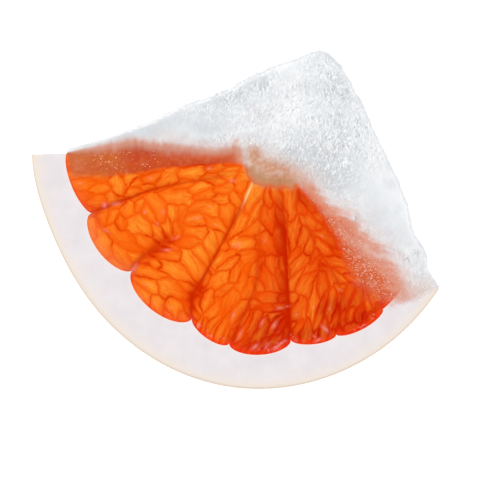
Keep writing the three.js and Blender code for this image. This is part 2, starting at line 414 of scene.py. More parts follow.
    def holds(self, points: Array) -> Array:
        """Which plan points lie inside the slice.

        Args:
            points: Plan points of any shape.

        Returns:
            Truth values.
        """
        outline = self.outline()
        after = np.roll(outline, -1, axis=0)
        x, y = points[..., 0], points[..., 1]
        inside = np.zeros(x.shape, bool)
        for (x0, y0), (x1, y1) in zip(outline, after):
            if y0 == y1:
                continue
            crosses = (y0 > y) != (y1 > y)
            inside ^= crosses & (x < (x1 - x0) * (y - y0) / (y1 - y0) + x0)
        return inside


# Meshes


@dataclass
class Shell:
    """A closed body made of points and four-cornered faces."""

    points: Array
    quads: Array

    def to_object(self, name: str, values: Optional[dict[str, Array]] = None,
                  sharp: float = 40.0) -> bpy.types.Object:
        """Makes a Blender object.

        Args:
            name: Name of the object.
            values: Named values for each point, one or three numbers each.
            sharp: Angle in degrees above which an edge is drawn sharp.

        Returns:
            The new object, linked to the scene.
        """
        mesh = bpy.data.meshes.new(name)
        mesh.vertices.add(len(self.points))
        mesh.vertices.foreach_set("co", (self.points * MM).astype(np.float32).ravel())
        mesh.loops.add(self.quads.size)
        mesh.loops.foreach_set("vertex_index", self.quads.astype(np.int32).ravel())
        mesh.polygons.add(len(self.quads))
        mesh.polygons.foreach_set("loop_start", np.arange(0, self.quads.size, 4, dtype=np.int32))
        mesh.update(calc_edges=True)
        mesh.validate()
        mesh.shade_smooth()
        mesh.set_sharp_from_angle(angle=math.radians(sharp))
        for key, data in (values or {}).items():
            kind = "FLOAT" if data.ndim == 1 else "FLOAT_VECTOR"
            entry = mesh.attributes.new(key, kind, "POINT")
            entry.data.foreach_set("value" if data.ndim == 1 else "vector",
                                   data.astype(np.float32).ravel())
        piece = bpy.data.objects.new(name, mesh)
        bpy.context.scene.collection.objects.link(piece)
        return piece


def grid_loop(rows: int, columns: int) -> Array:
    """Indices of a grid's outline, counter-clockwise seen from above.

    Args:
        rows: Rows of the grid, counted outwards.
        columns: Columns of the grid, counted counter-clockwise.

    Returns:
        Point indices.
    """
    index = np.arange(rows * columns).reshape(rows, columns)
    return np.concatenate([index[:, 0], index[-1, 1:], index[-2::-1, -1], index[0, -2:0:-1]])


def grid_shell(top: Array, bottom: Array, rings: Sequence[Array] = ()) -> Shell:
    """Closed body between two grids of points.

    Args:
        top: Upper grid, rows by columns by three.
        bottom: Lower grid of the same size.
        rings: Outline rings between the two, from the top down.

    Returns:
        The body, with its faces pointing out.
    """
    rows, columns = top.shape[:2]
    count = rows * columns
    index = np.arange(count).reshape(rows, columns)
    corners = [index[:-1, :-1], index[1:, :-1], index[1:, 1:], index[:-1, 1:]]
    upper = np.stack(corners, -1).reshape(-1, 4)
    lower = upper[:, ::-1] + count
    loop = grid_loop(rows, columns)
    points = [top.reshape(-1, 3), bottom.reshape(-1, 3)]
    quads = [upper, lower]
    levels = [loop]
    start = 2 * count
    for ring in rings:
        points.append(ring)
        levels.append(np.arange(start, start + len(ring)))
        start += len(ring)
    levels.append(loop + count)
    for high, low in zip(levels[:-1], levels[1:]):
        quads.append(np.stack([high, low, np.roll(low, -1), np.roll(high, -1)], -1))
    return Shell(np.concatenate(points), np.concatenate(quads))


def outward_of(loop: Array) -> Array:
    """Outward plan directions along a loop of points.

    Args:
        loop: The points, counter-clockwise.

    Returns:
        A plan direction of length 1 for each point.
    """
    along = np.roll(loop, -1, axis=0) - np.roll(loop, 1, axis=0)
    along = along[:, :2] / np.maximum(np.linalg.norm(along[:, :2], axis=1), TINY)[:, None]
    return np.stack([along[:, 1], -along[:, 0]], -1)


def heights(plan: Array, z: Array | float) -> Array:
    """Plan points with a height added."""
    return np.concatenate([plan, np.broadcast_to(z, plan.shape[:-1])[..., None]], -1)


# Shader building


def colour(red: int, green: int, blue: int) -> tuple[float, float, float, float]:
    """Base colour that shows as a given screen colour under the studio's light.

    Args:
        red: Red part of the screen colour, 0 to 255.
        green: Green part.
        blue: Blue part.

    Returns:
        Linear red, green, blue and an alpha of 1.
    """
    screen = [part / 255 for part in (red, green, blue)]
    linear = [part / 12.92 if part <= 0.04045 else ((part + 0.055) / 1.055) ** 2.4
              for part in screen]
    return (*(part / STUDIO_LEVEL for part in linear), 1.0)


@dataclass(frozen=True)
class Mottle:
    """Soft blotches: size in mm and contrast."""

    size: float
    contrast: float


@dataclass(frozen=True)
class Streaks:
    """Fibres: length and width in mm, contrast, bend, and turn about Z in degrees."""

    length: float
    width: float
    contrast: float
    bend: float = 0.3
    turn: float = 0.0


def feed(tree: bpy.types.NodeTree, node: bpy.types.Node, inputs: dict) -> None:
    """Links or sets a node's inputs.

    Args:
        tree: The node's tree.
        node: The node.
        inputs: Outputs of other nodes or plain values, by the input's number or name.
    """
    for key, value in inputs.items():
        if isinstance(value, bpy.types.NodeSocket):
            tree.links.new(value, node.inputs[key])
        else:
            node.inputs[key].default_value = value


def add_node(tree: bpy.types.NodeTree, kind: str, inputs: Optional[dict] = None,
             **settings: object) -> bpy.types.Node:
    """Adds a node to a tree.

    Args:
        tree: The tree.
        kind: Blender's type name of the node.
        inputs: Its inputs, as in feed.
        **settings: Its own properties by name.

    Returns:
        The node.
    """
    made = tree.nodes.new(kind)
    for key, value in settings.items():
        setattr(made, key, value)
    feed(tree, made, inputs or {})
    return made


class Shader:
    """A material under construction."""

    MIX_FIRST = 6
    MIX_SECOND = 7
    MIX_RESULT = 2

    def __init__(self, name: str) -> None:
        """Starts a material with a Principled shader.

        Args:
            name: Name of the material.
        """
        self.material = bpy.data.materials.new(name)
        self.material.use_nodes = True
        self.tree = self.material.node_tree
        self.surface = self.tree.nodes["Principled BSDF"]

    def node(self, kind: str, inputs: Optional[dict] = None,
             **settings: object) -> bpy.types.Node:
        """Adds a node to the material, as add_node does."""
        return add_node(self.tree, kind, inputs, **settings)

    def math(self, operation: str, first: object, second: object = 0.0) -> bpy.types.NodeSocket:
        """Adds a Math node and returns its output."""
        made = self.node("ShaderNodeMath", {0: first, 1: second}, operation=operation)
        return made.outputs[0]

    def times(self, first: object, second: object) -> bpy.types.NodeSocket:
        """Product of two values."""
        return self.math("MULTIPLY", first, second)

    def mix(self, factor: object, first: object, second: object) -> bpy.types.NodeSocket:
        """Adds a colour mix.

        Args:
            factor: Share of the second colour.
            first: First colour.
            second: Second colour.

        Returns:
            The mixed colour.
        """
        inputs = {0: factor, self.MIX_FIRST: first, self.MIX_SECOND: second}
        return self.node("ShaderNodeMix", inputs, data_type="RGBA").outputs[self.MIX_RESULT]

    def paint(self, base: object, **tints: object) -> object:
        """Lays colours over a base, each where the mesh's value of the same name says.

        Args:
            base: Colour below.
            **tints: Colours by the name of their value, from the lowest to the uppermost.

        Returns:
            The resulting colour.
        """
        for name, tint in tints.items():
            base = self.mix(self.attribute(name), base, tint)
        return base

    def spread(self, value: object, low: float, high: float, to_low: float = 0.0,
               to_high: float = 1.0) -> bpy.types.NodeSocket:
        """Adds a smooth Map Range node.

        Args:
            value: Value to map.
            low: Value that becomes to_low.
            high: Value that becomes to_high.
            to_low: Lowest result.
            to_high: Highest result.

        Returns:
            The mapped value.
        """
        inputs = dict(enumerate((value, low, high, to_low, to_high)))
        made = self.node("ShaderNodeMapRange", inputs, interpolation_type="SMOOTHSTEP")
        return made.outputs[0]

    def attribute(self, name: str, vector: bool = False) -> bpy.types.NodeSocket:
        """Reads one of the mesh's own values."""
        made = self.node("ShaderNodeAttribute", attribute_name=name)
        return made.outputs["Vector"] if vector else made.outputs["Fac"]

    def place(self, turn: float = 0.0) -> bpy.types.NodeSocket:
        """Object coordinates in millimetres.

        Args:
            turn: Angle in degrees that the pattern is turned about Z.

        Returns:
            The coordinates.
        """
        where = self.node("ShaderNodeTexCoord").outputs["Object"]
        made = self.node("ShaderNodeMapping", {
            "Vector": where, "Rotation": (0, 0, math.radians(turn)), "Scale": (1 / MM,) * 3})
        return made.outputs[0]

    def group(self, tree: bpy.types.NodeTree, **inputs: object) -> bpy.types.NodeSocket:
        """Places a node group.

        Args:
            tree: The group.
            **inputs: Its inputs by name.

        Returns:
            Its first output.
        """
        return self.node("ShaderNodeGroup", inputs, node_tree=tree).outputs[0]

    def bump(self, height: bpy.types.NodeSocket, strength: float, distance: float) -> None:
        """Feeds a height to the surface's normal.

        Args:
            height: Height from 0 to 1.
            strength: Strength of the bump.
            distance: Depth in mm of a full step.
        """
        made = self.node("ShaderNodeBump", {
            "Strength": strength, "Distance": distance * MM, "Height": height})
        self.plain(Normal=made.outputs[0])

    def plain(self, **values: object) -> None:
        """Sets the surface's own sockets, with underscores for spaces."""
        named = {key.replace("_", " "): value for key, value in values.items()}
        feed(self.tree, self.surface, named)


def new_group(name: str, inputs: dict[str, tuple[str, float]]) -> tuple:
    """Starts a shader node group with one value output.

    Args:
        name: Name of the group.
        inputs: Socket kind and default by input name.

    Returns:
        The tree, its input node and its output node.
    """
    tree = bpy.data.node_groups.new(name, "ShaderNodeTree")
    for key, (kind, default) in inputs.items():
        socket = tree.interface.new_socket(key, in_out="INPUT", socket_type=kind)
        if kind == "NodeSocketFloat":
            socket.default_value = default
    tree.interface.new_socket("Value", in_out="OUTPUT", socket_type="NodeSocketFloat")
    return tree, tree.nodes.new("NodeGroupInput"), tree.nodes.new("NodeGroupOutput")


class Effects:
    """Patterns that more than one finish uses, as node groups."""

    def __init__(self) -> None:
        """Builds the groups."""
        self.streak_tree = self._streak_tree()
        self.mottle_tree = self._mottle_tree()

    def streaks(self, shader: Shader, look: Streaks,
                where: Optional[bpy.types.NodeSocket] = None) -> bpy.types.NodeSocket:
        """Places fibres in a material.

        Args:
            shader: The material.
            look: Sizes of the fibres.
            where: Coordinates in mm whose first axis they follow, or None for the object's own.

        Returns:
            The pattern, from 0 to 1.
        """
        if where is None:
            where = shader.place(look.turn)
        return shader.group(self.streak_tree, Vector=where, Length=look.length,
                            Width=look.width, Contrast=look.contrast, Bend=look.bend)

    def mottle(self, shader: Shader, look: Mottle) -> bpy.types.NodeSocket:
        """Places blotches in a material.

        Args:
            shader: The material.
            look: Sizes of the blotches.

        Returns:
            The pattern, from 0 to 1.
        """
        return shader.group(self.mottle_tree, Vector=shader.place(), Size=look.size,
                            Contrast=look.contrast)

    @staticmethod
    def _streak_tree() -> bpy.types.NodeTree:
        """Builds fibres that run along the first axis of the given coordinates.

        Returns:
            The group.
        """
        tree, given, result = new_group("streaks", {
            "Vector": ("NodeSocketVector", 0.0),
            "Length": ("NodeSocketFloat", 4.0),
            "Width": ("NodeSocketFloat", 0.5),
            "Contrast": ("NodeSocketFloat", 1.0),
            "Bend": ("NodeSocketFloat", 0.3),
        })
        length, width = given.outputs["Length"], given.outputs["Width"]
        size = add_node(tree, "ShaderNodeCombineXYZ", {0: length, 1: width, 2: width})
        scaled = add_node(tree, "ShaderNodeVectorMath", {
            0: given.outputs["Vector"], 1: size.outputs[0]}, operation="DIVIDE")
        noise = add_node(tree, "ShaderNodeTexNoise", {
            "Vector": scaled.outputs[0], "Scale": 1.0, "Detail": 3.0, "Roughness": 0.6,
            "Distortion": given.outputs["Bend"]})
        Effects._contrast(tree, noise.outputs["Fac"], given, result)
        return tree

    @staticmethod
    def _mottle_tree() -> bpy.types.NodeTree:
        """Builds soft blotches of a given size.

        Returns:
            The group.
        """
        tree, given, result = new_group("mottle", {
            "Vector": ("NodeSocketVector", 0.0),
            "Size": ("NodeSocketFloat", 4.0),
            "Contrast": ("NodeSocketFloat", 1.0),
        })
        scale = add_node(tree, "ShaderNodeMath", {
            0: 1.0, 1: given.outputs["Size"]}, operation="DIVIDE")
        noise = add_node(tree, "ShaderNodeTexNoise", {
            "Vector": given.outputs["Vector"], "Scale": scale.outputs[0], "Detail": 4.0})
        Effects._contrast(tree, noise.outputs["Fac"], given, result)
        return tree

    @staticmethod
    def _contrast(tree: bpy.types.NodeTree, value: bpy.types.NodeSocket,
                  given: bpy.types.Node, result: bpy.types.Node) -> None:
        """Stretches a value about its middle and sends it out.

        Args:
            tree: The group.
            value: Value to stretch.
            given: The group's input node, with a Contrast output.
            result: The group's output node.
        """
        centre = add_node(tree, "ShaderNodeMath", {0: value, 1: 0.5}, operation="SUBTRACT")
        stretch = add_node(tree, "ShaderNodeMath", {
            0: centre.outputs[0], 1: given.outputs["Contrast"], 2: 0.5},
            operation="MULTIPLY_ADD", use_clamp=True)
        tree.links.new(stretch.outputs[0], result.inputs[0])


# Finishes


@dataclass(frozen=True)
class PulpFinish:
    """Wet pulp with painted light shining through: bright vesicles, dark seams, red walls."""

    bright: tuple = colour(244, 94, 8)
    middle: tuple = colour(232, 72, 6)
    deep: tuple = colour(204, 30, 2)
    # Glow colour: painted light shining through the vesicles.
    light: tuple = colour(255, 170, 54)
    # Seam colour, also laid as painted shade beside the seams.
    vein: tuple = colour(220, 60, 0)
    deep_vein: tuple = colour(190, 22, 0)
    wall: tuple = colour(200, 34, 0)
    tan: tuple = colour(206, 150, 112)
    cream: tuple = colour(255, 204, 138)
    # Pink highlight colour, painted into the pulp's base colour at its glints.
    glint: tuple = colour(246, 150, 138)
    # The pulp's redder rim next to the pith, brightened as painted light where the dome's edge falls
    # into shade.
    rim: tuple = colour(255, 62, 22)
    fibres: Streaks = Streaks(length=5.0, width=0.35, contrast=1.8)
    threads: Streaks = Streaks(length=3.2, width=0.24, contrast=3.0)

    def build(self, effects: Effects) -> bpy.types.Material:
        """Makes the material.

        Args:
            effects: The shared node groups.

        Returns:
            The material.
        """
        shader = Shader("pulp")
        grain = shader.attribute("grain", vector=True)
        depth = shader.attribute("depth")
        glint = shader.attribute("glint")
        fibres = effects.streaks(shader, self.fibres, grain)
        base = shader.mix(shader.spread(depth, 0, 0.5), self.bright, self.middle)
        base = shader.mix(shader.spread(depth, 0.5, 1), base, self.deep)
        # Painted glow of light shining through: the light colour where the tone is high, along the
        # fibres and less where the pulp is deep red.
        glow = shader.spread(fibres, 0, 1, to_low=0.3, to_high=1)
        lift = shader.times(shader.attribute("tone"), glow)
        lift = shader.times(lift, shader.spread(depth, 0, 0.9, to_low=1, to_high=0.5))
        base = shader.mix(lift, base, self.light)
        vein = shader.mix(depth, self.vein, self.deep_vein)
        threads = effects.streaks(shader, self.threads, grain)
        base = shader.mix(shader.spread(threads, 0.62, 1.0, to_high=0.35), base, vein)
        base = shader.paint(base, vein=vein, wall=self.wall, rim=self.rim, tan=self.tan,
                            cream=self.cream)
        # Painted highlights: the glint share mixes the highlight colour into the base colour; it
        # also sets a real glossy coat.
        base = shader.mix(shader.times(glint, 0.75), base, self.glint)
        shader.plain(Base_Color=base, Roughness=0.35, Specular_IOR_Level=0.0,
                     Subsurface_Weight=0.2, Subsurface_Scale=0.5 * MM,
                     Subsurface_Radius=(1.0, 0.45, 0.2), Coat_Roughness=0.15,
                     Coat_Weight=shader.times(glint, 0.4))
        shader.bump(fibres, strength=0.25, distance=0.05)
        return shader.material


@dataclass(frozen=True)
class PithFinish:
    """Dry spongy pith: nearly white, peach next to the peel."""

    pale: tuple = colour(232, 227, 229)
    shade: tuple = colour(225, 219, 222)
    peach: tuple = colour(238, 225, 214)
    blush: tuple = colour(248, 226, 220)
    roughness: float = 0.75
    blotches: Mottle = Mottle(size=5.0, contrast=2.6)
    sponge: Mottle = Mottle(size=0.5, contrast=1.6)

    def build(self, effects: Effects) -> bpy.types.Material:
        """Makes the material.

        Args:
            effects: The shared node groups.

        Returns:
            The material.
        """
        shader = Shader("pith")
        base = shader.mix(effects.mottle(shader, self.blotches), self.pale, self.shade)
        base = shader.paint(base, peach=self.peach, blush=self.blush)
        shader.plain(Base_Color=base, Roughness=self.roughness, Specular_IOR_Level=0.2,
                     Subsurface_Weight=0.2, Subsurface_Scale=1.0 * MM,
                     Subsurface_Radius=(1.0, 0.8, 0.7))
        shader.bump(effects.mottle(shader, self.sponge), strength=0.25, distance=0.05)
        return shader.material


@dataclass(frozen=True)
class PeelFinish:
    """Thin peel: pale tan where cut, warm yellow with a pink blush outside."""

    cut: tuple = colour(238, 225, 214)
    zest: tuple = colour(206, 188, 172)
    skin: tuple = colour(244, 212, 160)
    blush: tuple = colour(242, 188, 146)
    gland: tuple = colour(234, 192, 124)
    roughness: float = 0.42
    blotches: Mottle = Mottle(size=14.0, contrast=2.5)
    pores: Mottle = Mottle(size=0.7, contrast=1.5)

    def build(self, effects: Effects) -> bpy.types.Material:
        """Makes the material.

        Args:
            effects: The shared node groups.

        Returns:
            The material.
        """
        shader = Shader("peel")
        skin = shader.mix(effects.mottle(shader, self.blotches), self.skin, self.blush)
        skin = shader.paint(skin, gland=self.gland)
        base = shader.paint(self.cut, zest=self.zest, skin=skin)
        shader.plain(Base_Color=base, Roughness=self.roughness, Specular_IOR_Level=0.35)
        shader.bump(effects.mottle(shader, self.pores), strength=0.2, distance=0.04)
        return shader.material


@dataclass(frozen=True)
class CoreFinish:
    """Fibrous core: tan and a little translucent, orange where the pulp starts."""

    pale: tuple = colour(194, 150, 114)
    tan: tuple = colour(184, 118, 80)
    orange: tuple = colour(228, 88, 14)
    roughness: float = 0.6
    blotches: Mottle = Mottle(size=1.8, contrast=3.0)
    fibres: Streaks = Streaks(length=5.0, width=0.5, contrast=1.5, turn=-70)

    def build(self, effects: Effects) -> bpy.types.Material:
        """Makes the material.

        Args:
            effects: The shared node groups.

        Returns:
            The material.
        """
        shader = Shader("core")
        fibres = effects.streaks(shader, self.fibres)
        base = shader.mix(effects.mottle(shader, self.blotches), self.tan, self.pale)
        base = shader.mix(shader.times(fibres, 0.4), base, self.pale)
        base = shader.paint(base, orange=self.orange)
        shader.plain(Base_Color=base, Roughness=self.roughness, Specular_IOR_Level=0.0)
        shader.bump(fibres, strength=0.7, distance=0.2)
        return shader.material


@dataclass(frozen=True)
class IceFinish:
    """Frosted ice: streaky, with painted glints and shade; thin and stained by juice over the pulp.
    """

    white: tuple = colour(248, 249, 250)
    grey: tuple = colour(208, 212, 216)
    # Painted shade in the hollows of the needle grain.
    dark: tuple = colour(186, 192, 199)
    # Painted highlight on the ridges of the needle grain.
    bright: tuple = colour(255, 255, 255)
    haze: tuple = colour(208, 150, 130)
    pink: tuple = colour(217, 152, 130)
    ember: tuple = colour(208, 100, 54)
    # Painted sparkle highlights in the frosted juice of the right lap.
    painted_sparkle: tuple = colour(248, 214, 200)
    tan: tuple = colour(198, 134, 100)
    beige: tuple = colour(216, 170, 142)
    brown: tuple = colour(188, 92, 42)
    rust: tuple = colour(182, 64, 28)
    # Dark specks: painted shade of small air gaps in the ice.
    speck: tuple = colour(146, 134, 130)
    upright: Streaks = Streaks(length=1.3, width=0.42, contrast=4.2, bend=0.9, turn=-96)
    tilted: Streaks = Streaks(length=1.1, width=0.4, contrast=4.2, bend=0.9, turn=-48)
    zones: Mottle = Mottle(size=4.5, contrast=3.5)
    clusters: Mottle = Mottle(size=2.2, contrast=3.5)
    crumbs: Mottle = Mottle(size=0.9, contrast=2.6)
    grit: Mottle = Mottle(size=0.5, contrast=4.0)

    def build(self, effects: Effects) -> bpy.types.Material:
        """Makes the material.

        Args:
            effects: The shared node groups.

        Returns:
            The material.
        """
        shader = Shader("ice")
        needles = self._needles(shader, effects)
        crumbs = effects.mottle(shader, self.crumbs)
        grit = effects.mottle(shader, self.grit)
        clusters = shader.spread(effects.mottle(shader, self.clusters), 0, 1, 0.5, 1.15)
        frost = shader.times(shader.attribute("frost"), clusters)
        base = shader.paint(self.white, cloud=self.grey)
        # Painted shade where the needle pattern is low and painted highlight where it is high; the
        # same pattern bumps the surface.
        dark = shader.times(shader.spread(needles, 0.44, 0.08, to_high=0.95), frost)
        base = shader.mix(dark, base, self.dark)
        base = shader.mix(shader.times(shader.spread(needles, 0.5, 0.82), frost), base, self.bright)
        base = shader.paint(base, edge=self.dark)
        juice = shader.attribute("juice")
        rust = shader.paint(self.rust, brown=self.brown)
        rust = shader.mix(shader.spread(crumbs, 0.35, 1.0, to_high=0.18), rust, self.haze)
        # Painted sparkles: grit spots lighten the ember colour.
        ember = shader.mix(shader.spread(grit, 0.55, 1.0, to_high=0.4), self.ember, self.painted_sparkle)
        rust = shader.paint(rust, right=ember)
        haze = shader.paint(self.haze, right=self.pink)
        base = shader.mix(shader.spread(juice, 0.0, 0.5), base, haze)
        base = shader.mix(shader.spread(juice, 0.4, 1.0), base, rust)
        base = shader.paint(base, tan=shader.mix(crumbs, self.tan, self.beige))
        # Dark specks painted where small air gaps in the ice look shaded.
        speck = shader.times(shader.attribute("speck"), shader.spread(grit, 0.4, 0.75))
        base = shader.mix(shader.times(speck, 0.7), base, self.speck)
        shader.plain(Base_Color=base, Alpha=shader.attribute("veil"), Roughness=0.3, IOR=1.31,
                     Specular_IOR_Level=0.3, Subsurface_Weight=0.15, Subsurface_Scale=1.5 * MM,
                     Subsurface_Radius=(1.0, 1.0, 1.0))
        height = shader.math("ADD", shader.times(needles, frost), shader.times(crumbs, 0.3))
        shader.bump(height, strength=0.6, distance=0.2)
        return shader.material

    def _needles(self, shader: Shader, effects: Effects) -> bpy.types.NodeSocket:
        """Needle pattern: upright in some zones of the ice and tilted in the others.

        Args:
            shader: The material.
            effects: The shared node groups.

        Returns:
            The pattern, from 0 to 1.
        """
        zones = effects.mottle(shader, self.zones)
        upright = shader.times(effects.streaks(shader, self.upright), zones)
        others = shader.math("SUBTRACT", 1.0, zones)
        tilted = shader.times(effects.streaks(shader, self.tilted), others)
        return shader.math("ADD", upright, tilted)


@dataclass(frozen=True)
class CrystalFinish:
    """Small ice crystals in light colours, partly the ice's own and partly painted sparkle."""

    name: str
    bright: tuple
    dull: tuple
    patches: Mottle = Mottle(size=1.2, contrast=2.5)

    def build(self, effects: Effects) -> bpy.types.Material:
        """Makes the material.

        Args:
            effects: The shared node groups.

        Returns:
            The material.
        """
        shader = Shader(self.name)
        patches = effects.mottle(shader, self.patches)
        shader.plain(Base_Color=shader.mix(patches, self.bright, self.dull), Roughness=0.2,
                     IOR=1.31, Specular_IOR_Level=0.5)
        return shader.material


@dataclass(frozen=True)
class FloorFinish:
    """Plain pale studio floor."""

    pale: tuple = (0.93, 0.93, 0.935, 1.0)

    def build(self) -> bpy.types.Material:
        """Makes the material.

        Returns:
            The material.
        """
        shader = Shader("floor")
        shader.plain(Base_Color=self.pale, Roughness=0.9, Specular_IOR_Level=0.1,
                     Emission_Color=self.pale, Emission_Strength=0.3)
        return shader.material


# Sub-assemblies


def settle(piece: bpy.types.Object, material: bpy.types.Material, node: str) -> None:
    """Finishes a piece, makes it ride on the part and stand for its solid.

    Args:
        piece: The finished mesh object.
        material: Its material.
        node: The solid it stands for.
    """
    piece.data.materials.clear()
    piece.data.materials.append(material)
    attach(piece, BODY)
    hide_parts(node)
    LOG.info("%s: %d faces", piece.name, len(piece.data.polygons))


@dataclass(frozen=True)
class Patch:
    """A soft patch on the plan: centre and half sizes in mm, turn in degrees."""

    x: float
    y: float
    half_length: float
    half_width: float
    turn: float = 0.0
    strength: float = 1.0

    def weight(self, plan: Array) -> Array:
        """Strength of the patch, highest in its middle.

        Args:
            plan: Plan points.

        Returns:
            One value for each point.
        """
        turn = math.radians(self.turn)
        dx, dy = plan[..., 0] - self.x, plan[..., 1] - self.y
        along = (dx * math.cos(turn) + dy * math.sin(turn)) / self.half_length
        across = (dy * math.cos(turn) - dx * math.sin(turn)) / self.half_width
        return self.strength * np.exp(-(along ** 2) - across ** 2)


def patched(patches: Sequence[Patch], plan: Array) -> Array:
    """Sum of patches, from 0 to 1.

    Args:
        patches: The patches; one with a negative strength takes away.
        plan: Plan points.

    Returns:
        One value for each point.
    """
    return np.clip(sum(patch.weight(plan) for patch in patches), 0, 1)


def juicy(plan: Array, away: Array) -> Array:
    """Share of juice colour where the core blends into the pulp.

    Args:
        plan: Plan points.
        away: Distance in mm from the core's edge, below 0 inside the core.

    Returns:
        0 in the core and 1 in the pulp.
    """
    ragged = rough_noise(plan[..., 0] / 1.2, plan[..., 1] / 2.4, Noise.CORE_EDGE, 3)
    return ramp_up(-2.0, 1.1, away + 0.8 * ragged)


@dataclass
class VesicleField:
    """Juice vesicles of one cut face: long drops with thin seams between them.

    Each noted vesicle has its place in mm, the direction of its long axis in degrees and its
    half length and half width in mm. They show how the pulp grows; seeded ones fill the rest.
    """

    plan: SlicePlan
    seed: int
    keep_noted: bool
    spacing: float = 1.36
    tries: int = 900
    warp: float = 0.55
    taper: float = 0.4
    lead: float = 0.3
    slender: tuple = (1.08, 0.9)
    size_range: tuple = (0.72, 1.08)
    turn_spread: float = 9.0
    warp_size: float = 2.4
    warp_seeds: tuple = (60, 64)
    nudge: float = 0.02
    block: int = 4000
    stars: tuple = ((-24.8, -18.5), (-16.2, -30.5), (-0.8, -23.5), (14.8, -24.0))
    noted: tuple = (
        ((-44.5, -3.8, 12, 4.0, 1.5), (-40.5, -8.5, -8, 2.8, 1.9), (-35.8, -4.5, 88, 2.2, 2.0),
         (-31.5, -6.0, 0, 2.2, 1.5), (-24.2, -2.8, 45, 3.2, 1.8), (-18.0, -1.2, 5, 4.2, 1.9),
         (-9.0, -1.0, 10, 3.0, 1.5)),
        ((-39.5, -19.2, -60, 3.5, 2.1), (-34.5, -17.8, -35, 6.0, 1.6),
         (-30.0, -14.6, -32, 4.0, 1.7), (-33.8, -10.5, 60, 2.0, 1.8),
         (-26.0, -10.0, -62, 3.8, 1.6), (-22.2, -11.8, 86, 3.0, 1.2),
         (-21.5, -6.5, -5, 3.6, 2.0), (-16.0, -5.0, 18, 3.3, 1.6), (-14.5, -9.8, 12, 3.2, 2.0),
         (-18.5, -18.5, 0, 4.0, 1.3), (-12.5, -18.8, -80, 3.2, 1.8), (-8.5, -12.0, -80, 2.7, 1.5)),
        ((-24.2, -21.5, -3, 4.0, 1.4), (-28.0, -25.8, -15, 4.0, 1.5),
         (-21.2, -25.5, -33, 6.3, 1.6), (-16.2, -25.2, -62, 4.5, 1.9),
         (-22.0, -30.5, -28, 4.2, 1.8), (-31.0, -31.0, -58, 3.3, 2.0),
         (-22.0, -34.0, -75, 2.5, 1.8)),
        ((-3.0, -8.8, 60, 4.5, 1.5), (-6.0, -13.2, 60, 4.0, 1.6), (-4.8, -18.5, 8, 3.5, 1.5),
         (-10.0, -22.2, 32, 3.7, 1.4), (-11.2, -27.8, 33, 3.8, 1.7), (-6.5, -26.2, 75, 3.0, 1.5),
         (-12.2, -35.2, 68, 2.8, 1.6), (-7.5, -32.5, 62, 4.0, 1.6), (-10.0, -39.8, 60, 4.5, 1.0)),
        ((1.5, -8.0, -82, 3.0, 1.1), (1.4, -12.5, -80, 3.4, 1.5), (1.0, -18.8, -65, 3.8, 1.6),
         (1.8, -28.0, -72, 3.5, 1.8), (1.5, -32.2, -6, 2.6, 1.5), (-0.2, -40.0, 60, 4.0, 1.2),
         (3.2, -42.8, 50, 3.0, 1.3)),
        ((7.8, -15.8, 78, 4.2, 1.6), (10.8, -16.8, 74, 3.8, 1.5), (9.5, -23.5, 48, 3.4, 1.1),
         (11.0, -28.5, 58, 3.6, 1.7), (9.0, -35.0, 72, 3.8, 1.8), (13.0, -33.2, 84, 4.2, 1.0)),
        ((11.8, -8.8, -62, 3.5, 1.5), (12.5, -13.5, -32, 2.8, 1.6), (15.0, -19.8, -45, 3.0, 1.6),
         (18.0, -23.2, -8, 3.2, 1.2), (17.5, -26.5, -40, 2.8, 1.5), (17.0, -33.5, 76, 3.5, 1.3)),
        ((21.0, -32.2, 68, 3.5, 1.5), (23.8, -32.5, 75, 3.0, 1.5), (22.5, -39.2, 20, 3.0, 1.4)),
    )
    centres: Array = field(init=False)
    axes: Array = field(init=False)
    halves: Array = field(init=False)
    tones: Array = field(init=False)
    leads: Array = field(init=False)

    def __post_init__(self) -> None:
        """Places the vesicles so that they fill the pulp evenly."""
        draw = np.random.default_rng(self.seed)
        found = []
        if self.keep_noted:
            found = [entry for group in self.noted for entry in group]
        for segment in self.plan.segments:
            for _ in range(self.tries):
                share = (math.sqrt(draw.uniform(0.002, 1.0)), draw.uniform(0.0, 1.0))
                entry = self._grown(segment, self.plan.segment_point(segment, *share), draw)
                if not found or self._room(entry, np.array(found)) > self.spacing:
                    found.append(entry)
        table = np.array(found)
        self._keep(table)
        self.tones = draw.uniform(0, 1, len(table))
        self.leads = draw.uniform(0, self.lead, len(table))

    def _keep(self, table: Array) -> None:
        """Stores vesicles as centres, axes that point to the wide end, and half sizes.

        Args:
            table: One entry for each vesicle: place, direction and half sizes.
        """
        turn = np.radians(table[:, 2])
        self.centres, self.halves = table[:, :2], table[:, 3:]
        self.axes = np.stack([np.cos(turn), np.sin(turn)], -1)
        away = self.centres[:, None] - np.array(self.stars)[None]
        nearest = np.argmin(np.linalg.norm(away, axis=-1), axis=1)
        away = away[np.arange(len(table)), nearest]
        self.axes = self.axes * np.where((away * self.axes).sum(-1) < 0, -1.0, 1.0)[:, None]

    def _grown(self, segment: int, centre: Array, draw: np.random.Generator) -> tuple:
        """A vesicle at a place, like the noted ones round it.

        Args:
            segment: Number of the segment.
            centre: Plan point.
            draw: Source of random numbers.

        Returns:
            Its entry: place, direction and half sizes.
        """
        near = np.array(self.noted[segment])
        weight = 1 / (((near[:, :2] - centre) ** 2).sum(1) + 1.5) ** 2
        weight /= weight.sum()
        double = np.radians(2 * near[:, 2])
        angle = 0.5 * math.degrees(math.atan2((weight * np.sin(double)).sum(),
                                              (weight * np.cos(double)).sum()))
        half = (weight[:, None] * near[:, 3:]).sum(0) * draw.uniform(*self.size_range) * self.slender
        return (*centre, angle + draw.normal(0, self.turn_spread), *half)

